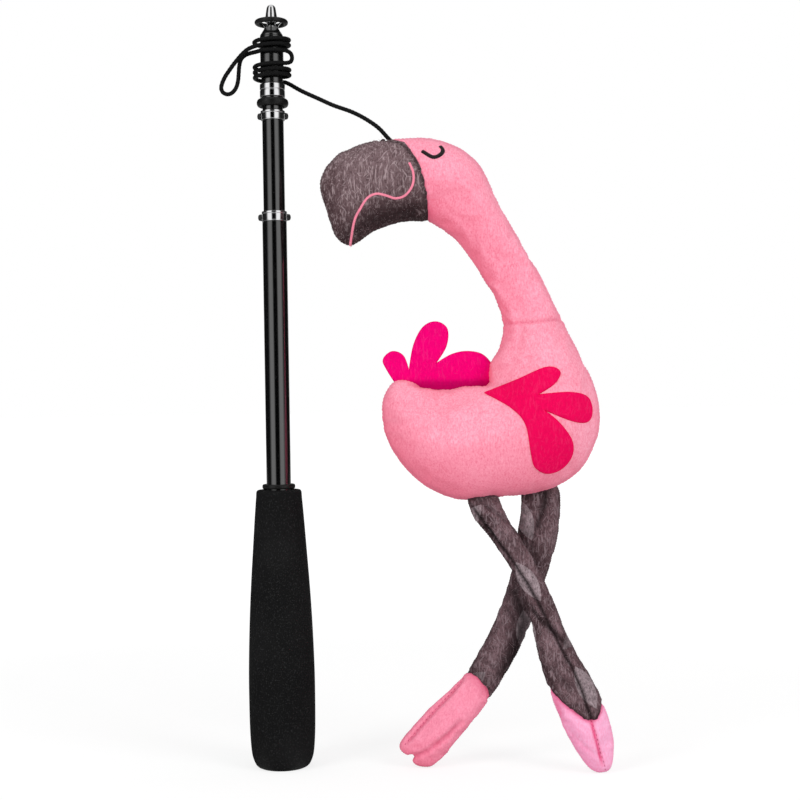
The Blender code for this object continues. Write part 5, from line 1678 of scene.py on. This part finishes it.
@dataclass
class Flamingo:
    """Head, neck and body in one plush skin, the beak, the felts and the face."""

    plane: float = -8.0
    outline: Pairs = (
        (97.6, 177.8), (86.5, 177.6), (79.3, 176.3), (68.0, 177.2), (65.1, 179.0), (58.1, 180.6), (53.0, 178.1),
        (49.7, 170.4), (49.6, 163.3), (51.2, 154.7), (55.4, 146.1), (61.6, 138.2), (69.3, 131.6), (78.5, 126.9),
        (87.0, 124.9), (99.9, 125.6), (114.1, 126.8), (128.3, 130.3), (136.7, 135.1), (143.7, 142.9),
        (147.9, 152.6), (149.4, 161.6), (148.2, 172.8), (144.2, 184.1), (137.4, 197.8), (132.4, 207.5),
        (127.0, 218.4), (118.8, 235.2), (110.6, 250.1), (102.3, 267.0), (95.8, 278.7), (87.7, 285.9), (78.0, 290.0),
        (68.1, 291.7), (53.0, 291.5), (43.5, 290.0), (35.4, 287.2), (31.0, 285.3), (24.0, 277.6), (22.1, 271.6),
        (22.9, 265.5), (25.2, 257.4), (28.2, 248.3), (32.1, 244.2), (36.1, 242.9), (41.2, 245.4), (47.3, 249.2),
        (54.9, 251.9), (62.5, 253.3), (71.3, 253.2), (75.4, 251.7), (83.5, 245.3), (88.0, 240.1), (93.4, 232.2),
        (98.8, 223.8), (103.2, 215.3), (105.4, 206.5), (105.4, 201.4), (103.6, 194.5), (99.6, 187.6), (98.9, 182.5),
    )
    beak_seam: Pairs = (
        (71.3, 253.6), (71.5, 258.2), (70.4, 266.8), (68.4, 275.2), (65.8, 281.2), (61.4, 287.4), (57.8, 289.8),
        (54.2, 291.0), (50.0, 292.0),
    )
    neck_seam: Pairs = ((106.1, 205.4), (113.0, 205.6), (120.3, 206.1), (127.0, 206.6), (133.4, 207.1))
    mouth: Pairs = (
        (63.6, 278.7), (65.3, 274.0), (64.9, 268.6), (61.6, 264.2), (57.1, 262.8), (52.7, 264.1), (48.3, 264.9),
        (44.2, 263.1), (40.7, 258.2), (38.1, 253.4), (35.7, 243.2),
    )
    eye: Pairs = ((69.6, 284.3), (74.4, 281.4), (77.8, 282.6), (79.1, 284.8), (78.0, 287.0))

    def build(self, shop: Workshop, growth: Growth) -> None:
        """Builds the toy down to its legs."""
        # Each crease presses a seam or fold and paints shade along it; those of no depth are only painted shade, along
        # the inner neck and head and on the beak below the mouth, and the line under the tail is painted shadow.
        creases = (
            Crease(self.neck_seam, 0.7, 0.9, 0.5),
            Crease(((53.5, 171.0), (60.0, 169.5), (67.0, 168.5)), 0.5, 1.6, 0.1),
            Crease(((51.5, 160.0), (58.0, 160.5), (64.0, 162.0)), 0.5, 1.6, 0.1),
            Crease(((74.0, 174.5), (75.0, 168.0), (77.0, 162.0)), 0.5, 1.8, 0.1),
            Crease(((98.0, 178.5), (104.0, 176.0), (111.0, 175.0)), 0.6, 2.0, 0.15),
            Crease(((70.0, 268.0), (84.0, 262.0), (95.0, 250.0), (108.0, 228.0), (114.0, 212.0)), 0.0, 13.0, 0.12),
            Crease(((62.0, 178.4), (70.0, 177.0), (79.3, 176.4), (88.0, 177.5), (97.6, 178.0)), 0.3, 1.1, 0.6),
            Crease(((37.0, 246.0), (46.0, 253.0), (57.0, 256.0), (69.0, 257.0)), 0.0, 6.5, 0.85),
        )
        form = StuffedForm("stuffed_form", self.outline, ((100.0, self.plane), (300.0, self.plane)), 0.585,
                           seams=(self.beak_seam,), creases=creases)
        skin, beak = form.cloths("flamingo_skin", "flamingo_beak")
        shop.finished(skin, Finishes.PLUSH, Body.TOY, "toy_body", "toy_neck", "toy_head")
        shop.finished(beak, Finishes.BEAK, Body.TOY, "toy_beak")
        surface = Surface(skin, beak)
        for side in Side:
            self._wing(shop, surface, side)
        self._tail(shop)
        for name, line, finish, length, radius in (("mouth_thread", self.mouth, Finishes.MOUTH, 1.3, 0.26),
                                                   ("eye_thread", self.eye, Finishes.EYE, 2.1, 0.3)):
            Seamwork(name, line, finish, Body.TOY, 0.34, length, radius, math.pi / 2).build(shop, growth, surface)
        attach(growth.fluff("beak_hairs", beak, shop, 150000.0, (3.6, 0.045), 5), Body.TOY.value)

    def _wing(self, shop: Workshop, surface: Surface, side: Side) -> None:
        """Lays a felt wing with three feathers on one side of the body."""
        felt, out = Felt.wing().seen(), side.value
        panel = felt.panel()
        raw = surface.under(panel.points, side)[0][:, 1] * out
        depth = np.maximum(relaxed(raw, panel, 4), raw) - 0.05
        thick = np.where(panel.rim, 0.6, 1.0) * felt.thickness
        wing = felt_slab(f"felt_wing_{side.name.lower()}", panel, depth * out, (depth + thick) * out)
        mark_plain(wing)
        shop.finished(wing, Finishes.FELT, Body.TOY, f"wing_{side.name.lower()}")
        felt.declare(wing, "laid", "flamingo_skin")

    def _tail(self, shop: Workshop) -> None:
        """Stands the felt tail, with its three lobes, in the seam on the back."""
        felt = Felt.tail()
        panel = felt.panel()
        x, z = panel.points.T
        rise = np.clip((z - 178.0) / 22.0, 0.0, 1.0)
        middle = self.plane + (1.5 * rise * np.sin((x - 48.0) / 6.2) + 0.5 * rise * np.sin(z / 3.6 + x / 9.0))
        thin = np.where(panel.rim, 0.75, 1.0) * felt.thickness / 2
        tail = felt_slab("felt_tail", panel, middle + thin, middle - thin)
        # Painted shade on the tail's foot, where it goes into the body.
        mark_plain(tail, 178.4, 181.0, 0.75)
        shop.finished(tail, Finishes.TAIL, Body.TOY, "tail_felt")
        felt.declare(tail, "stretched", "flamingo_skin")


def relaxed(values: Array, panel: Weave, rounds: int) -> Array:
    """Evens out a value over a panel, each point moving towards its neighbours."""
    pairs = np.vstack([panel.triangles[:, [0, 1]], panel.triangles[:, [1, 2]], panel.triangles[:, [2, 0]]])
    count = len(panel.points)
    number = np.bincount(pairs[:, 0], minlength=count) + np.bincount(pairs[:, 1], minlength=count)
    for _ in range(rounds):
        total = np.bincount(pairs[:, 0], values[pairs[:, 1]], count)
        total += np.bincount(pairs[:, 1], values[pairs[:, 0]], count)
        values = 0.5 * values + 0.5 * total / np.maximum(number, 1)
    return values


def mark_plain(piece: Piece, low: float = 0.0, high: float = 1e-9, dark: float = 0.0) -> None:
    """Marks a cutting of felt, which gets no painted shade from how it faces, and a painted shade only from one height
    down to another.
    """
    shade = dark * np.clip((high - points_of(piece.data)[:, 2] / MM) / (high - low), 0.0, 1.0)
    mark_cloth(piece.data, shade, 0.0 * shade)


@dataclass
class Felt:
    """A flat felt cutting: its outline, the numbers of its corners and its thickness."""

    outline: Pairs
    corners: tuple[int, ...]
    thickness: float = 1.3
    near_thickness: float = 0.85
    near_scale: float = 0.974
    eye_line: Pair = (57.6, 171.0)

    def seen(self) -> "Felt":
        """Returns the cutting as it is on the body's near side, which lies closer to the camera."""
        middle = np.array(self.eye_line)
        return Felt((middle + (np.array(self.outline) - middle) * self.near_scale).tolist(), self.corners,
                    self.near_thickness)

    @classmethod
    def wing(cls) -> "Felt":
        """Returns the wing's cutting, three feathers on one root."""
        return cls((
            (97.1, 173.8), (111.4, 179.3), (125.7, 185.1), (132.1, 183.0), (129.4, 177.6), (121.2, 172.4),
            (136.2, 173.3), (145.0, 171.2), (147.6, 165.2), (145.4, 159.6), (137.5, 160.0), (123.6, 165.6),
            (131.0, 159.4), (137.2, 151.0), (137.4, 143.6), (132.6, 137.6), (125.6, 135.6), (119.8, 138.9),
            (117.8, 146.0), (115.4, 158.8), (109.0, 166.6)), corners=(0, 5, 11))

    @classmethod
    def tail(cls) -> "Felt":
        """Returns the tail's cutting, three lobes on one root."""
        return cls((
            (57.4, 176.0), (51.6, 185.4), (50.1, 190.0), (54.2, 193.6), (59.4, 191.6), (62.0, 184.6), (64.4, 196.6),
            (69.0, 204.8), (75.0, 207.0), (80.0, 203.6), (79.4, 195.6), (74.2, 187.4), (82.0, 191.8), (89.6, 193.1),
            (96.8, 191.2), (100.9, 184.6), (98.4, 174.0)), corners=(0, 5, 11, 16))

    def loop(self) -> Array:
        """Returns the cutting's edge at even steps."""
        return corner_loop(self.outline, self.corners, 1.0)

    def panel(self) -> Weave:
        """Returns the cutting as a flat mesh."""
        return cut_panel(self.loop(), [], 1.9, (0.6,))

    def declare(self, piece: Piece, held: str, on: str) -> None:
        loop = self.loop()


@dataclass
class Limb:
    """A stuffed leg of printed cloth with a plush foot."""

    name: str
    body: Body
    form: StuffedForm
    hip_above: Triple
    hip_below: Triple
    foot: Finish = Finishes.FOOT
    stitches: tuple[Pairs, ...] = ()
    sides: tuple[Side, ...] = (Side.NEAR, Side.FAR)

    def build(self, shop: Workshop, growth: Growth) -> None:
        """Builds the leg, its foot, its stitches and its loose hairs."""
        leg, foot = self.form.cloths(f"{self.name}_leg_cloth", f"{self.name}_foot_plush")
        shop.dress(leg, Finishes.LEG)
        self._bend(leg)
        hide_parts(f"{self.name}_leg")
        shop.finished(foot, self.foot, self.body, f"{self.name}_foot")
        LOG.info("%s: %d faces on %s", leg.name, len(leg.data.polygons), self.body.value)
        surface = Surface(leg, foot)
        for number, line in enumerate(self.stitches):
            Seamwork(f"{self.name}_foot_stitch_{number + 1}", line, Finishes.STITCH, self.body, 2.1, 1.35, 0.17,
                     0.0, lift=-0.02, sides=self.sides).build(shop, growth, surface)
        self._bend(growth.fluff(f"{self.name}_leg_hairs", leg, shop, 60000.0, (2.6, 0.036), 9))

    def _bend(self, piece: Piece) -> None:
        """Bakes a piece's placement into its mesh."""
        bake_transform(piece)


def leg_form(name: str, outline: tuple, planes: tuple, seam: tuple, creases: tuple) -> StuffedForm:
    """Returns a leg's stuffed form, woven finer than the body's; the seam parts its leg from its foot."""
    return StuffedForm(name, outline, planes, 0.48, spacing=1.7, step=1.2, rows=(0.3, 0.8, 1.6), seams=(seam,),
                       creases=creases, floor=0.05, limit=0.9)


def near_limb() -> Limb:
    """Returns the leg on the viewer's side, with its long seam and its folds."""
    seam = ((89.5, 121.8), (99.3, 108.1), (107.1, 97.4), (116.9, 81.7), (123.6, 68.2), (129.4, 56.6), (135.1, 45.1),
            (138.9, 34.5), (141.3, 26.8), (142.2, 22.1), (144.1, 14.3), (146.5, 4.6))
    # Each crease presses a seam or fold and paints shade along it; the one of no depth at the top is only painted
    # shadow under the body.
    creases = (
        Crease(seam, 0.9, 0.8, 0.95, Side.NEAR),
        Crease(((88.0, 127.0), (95.0, 126.5), (104.0, 127.5)), 0.0, 3.5, 0.6),
        Crease(((94.4, 123.0), (101.0, 118.5), (107.0, 113.0)), 0.6, 1.0, 0.45, Side.NEAR),
        Crease(((115.2, 75.6), (119.0, 71.0), (124.0, 66.4), (132.0, 58.0)), 0.85, 1.3, 0.8, Side.NEAR),
        Crease(((121.0, 50.0), (128.0, 44.0), (134.0, 36.0)), 0.5, 1.2, 0.3, Side.NEAR),
        Crease(((124.8, 36.0), (126.8, 30.5), (128.8, 24.0)), 0.2, 1.3, 0.5, Side.NEAR),
        Crease(((131.5, 20.0), (136.5, 14.5), (143.0, 9.5)), 0.5, 1.0, 0.15),
        Crease(((112.0, 92.0), (119.0, 84.0), (126.0, 70.0)), 0.6, 1.0, 0.4, Side.FAR),
    )
    form = leg_form("near_form", (
        (93.0, 130.5), (100.5, 128.5), (103.0, 124.8), (106.2, 116.2), (109.6, 111.0), (114.0, 104.0), (118.2, 96.2),
        (121.7, 88.6), (125.6, 80.6), (130.2, 68.6), (134.9, 57.0), (141.0, 46.8), (146.4, 36.8), (148.6, 30.4),
        (151.2, 22.5), (152.3, 15.0), (152.4, 8.6), (151.2, 2.4), (149.0, 0.3), (145.8, 0.05), (142.7, 0.7),
        (139.8, 3.0), (136.0, 8.0), (131.8, 15.4), (127.9, 24.3), (125.1, 32.2), (123.1, 38.1), (119.8, 48.6),
        (118.0, 57.0), (116.5, 64.8), (114.8, 74.0), (111.3, 84.1), (106.9, 92.6), (102.3, 100.4), (97.5, 107.0),
        (91.6, 114.6), (88.0, 123.0), (88.4, 128.5),
    ), ((0.0, -22.4), (24.0, -20.6), (34.0, -19.8), (62.0, -17.8), (92.0, -15.5), (118.0, -14.0), (130.0, -11.0)), (
        (148.2, 31.8), (145.9, 27.4), (142.1, 24.4), (138.0, 25.7), (133.4, 28.9), (127.5, 33.6), (122.8, 38.5)),
        creases)
    stitch = ((142.0, 24.1), (143.8, 18.3), (145.5, 11.0), (147.5, 4.4), (147.9, 2.0))
    return Limb("near", Body.NEAR_LIMB, form, (0.0969, -0.014, 0.126), (0.0969, -0.014, 0.113),
                Finishes.NEAR_FOOT, stitches=(stitch,), sides=(Side.NEAR,))


def far_limb() -> Limb:
    """Returns the leg on the far side, whose foot has a stitched edge."""
    edge = ((85.0, 40.4), (79.5, 34.3), (70.5, 25.5), (64.4, 18.9), (57.6, 11.4))
    # Each crease presses a seam, fold or tuck and paints shade along it; the two of no depth are only painted shade,
    # where the near leg crosses in front and above the foot.
    creases = (
        Crease(edge, 0.8, 0.65, 0.5),
        Crease(((60.8, 5.4), (63.4, 6.7), (70.2, 10.6), (77.7, 16.4), (82.9, 21.5)), 0.9, 1.1, 0.45),
        Crease(((124.2, 130.0), (123.5, 120.0), (119.0, 108.0)), 0.6, 1.9, 0.75),
        Crease(((108.0, 84.0), (112.0, 73.0), (113.0, 64.0), (108.0, 53.0), (102.5, 43.0)), 0.0, 3.2, 0.75,
               Side.NEAR),
        Crease(((87.0, 46.0), (92.5, 42.0), (97.0, 36.0)), 0.0, 4.0, 0.5),
        Crease(((104.0, 74.0), (110.0, 68.0), (114.5, 62.0)), 0.6, 1.2, 0.4),
        Crease(((92.0, 50.0), (98.0, 47.0), (103.0, 43.0)), 0.5, 1.2, 0.35),
    )
    form = leg_form("far_form", (
        (121.5, 134.0), (128.5, 132.0), (131.5, 127.0), (131.5, 120.6), (130.8, 110.6), (128.3, 98.4), (124.4, 86.8),
        (120.3, 74.6), (115.2, 62.6), (109.4, 50.4), (102.9, 39.7), (97.0, 30.2), (91.0, 22.4), (84.0, 14.6),
        (77.0, 6.4), (70.4, 0.8), (65.6, 0.1), (62.2, 0.8), (60.5, 3.1), (60.9, 5.4), (58.6, 5.6), (56.0, 6.7),
        (54.4, 9.0), (54.9, 11.8), (57.4, 15.2), (60.8, 19.0), (68.2, 26.8), (77.8, 34.8), (85.8, 42.9),
        (88.9, 47.3), (93.7, 55.2), (99.2, 65.7), (103.5, 75.8), (107.4, 87.9), (109.7, 98.4), (111.3, 109.5),
        (112.9, 119.1), (113.2, 127.0), (115.5, 132.0),
    ), ((0.0, -6.8), (9.0, -6.2), (30.0, -4.4), (45.0, -3.4), (60.0, -2.7), (98.0, -2.7), (119.0, -3.0),
        (134.0, -6.0)), ((96.9, 30.7), (96.2, 35.0), (93.2, 39.6), (88.7, 43.4), (85.4, 43.6)), creases)
    return Limb("far", Body.FAR_LIMB, form, (0.1222, -0.003, 0.128), (0.1222, -0.003, 0.114), stitches=(edge,))


def main() -> None:
    """Builds the studio, the rod, the line and the toy."""
    logging.basicConfig(level=logging.INFO, format="%(message)s")
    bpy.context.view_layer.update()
    Studio().build()
    shop = Workshop()
    for assembly in (Handle(), Sections(), TipHub(), Line()):
        assembly.build(shop)
    growth = Growth()
    for assembly in (Flamingo(), near_limb(), far_limb()):
        assembly.build(shop, growth)


if __name__ == "__main__":
    main()
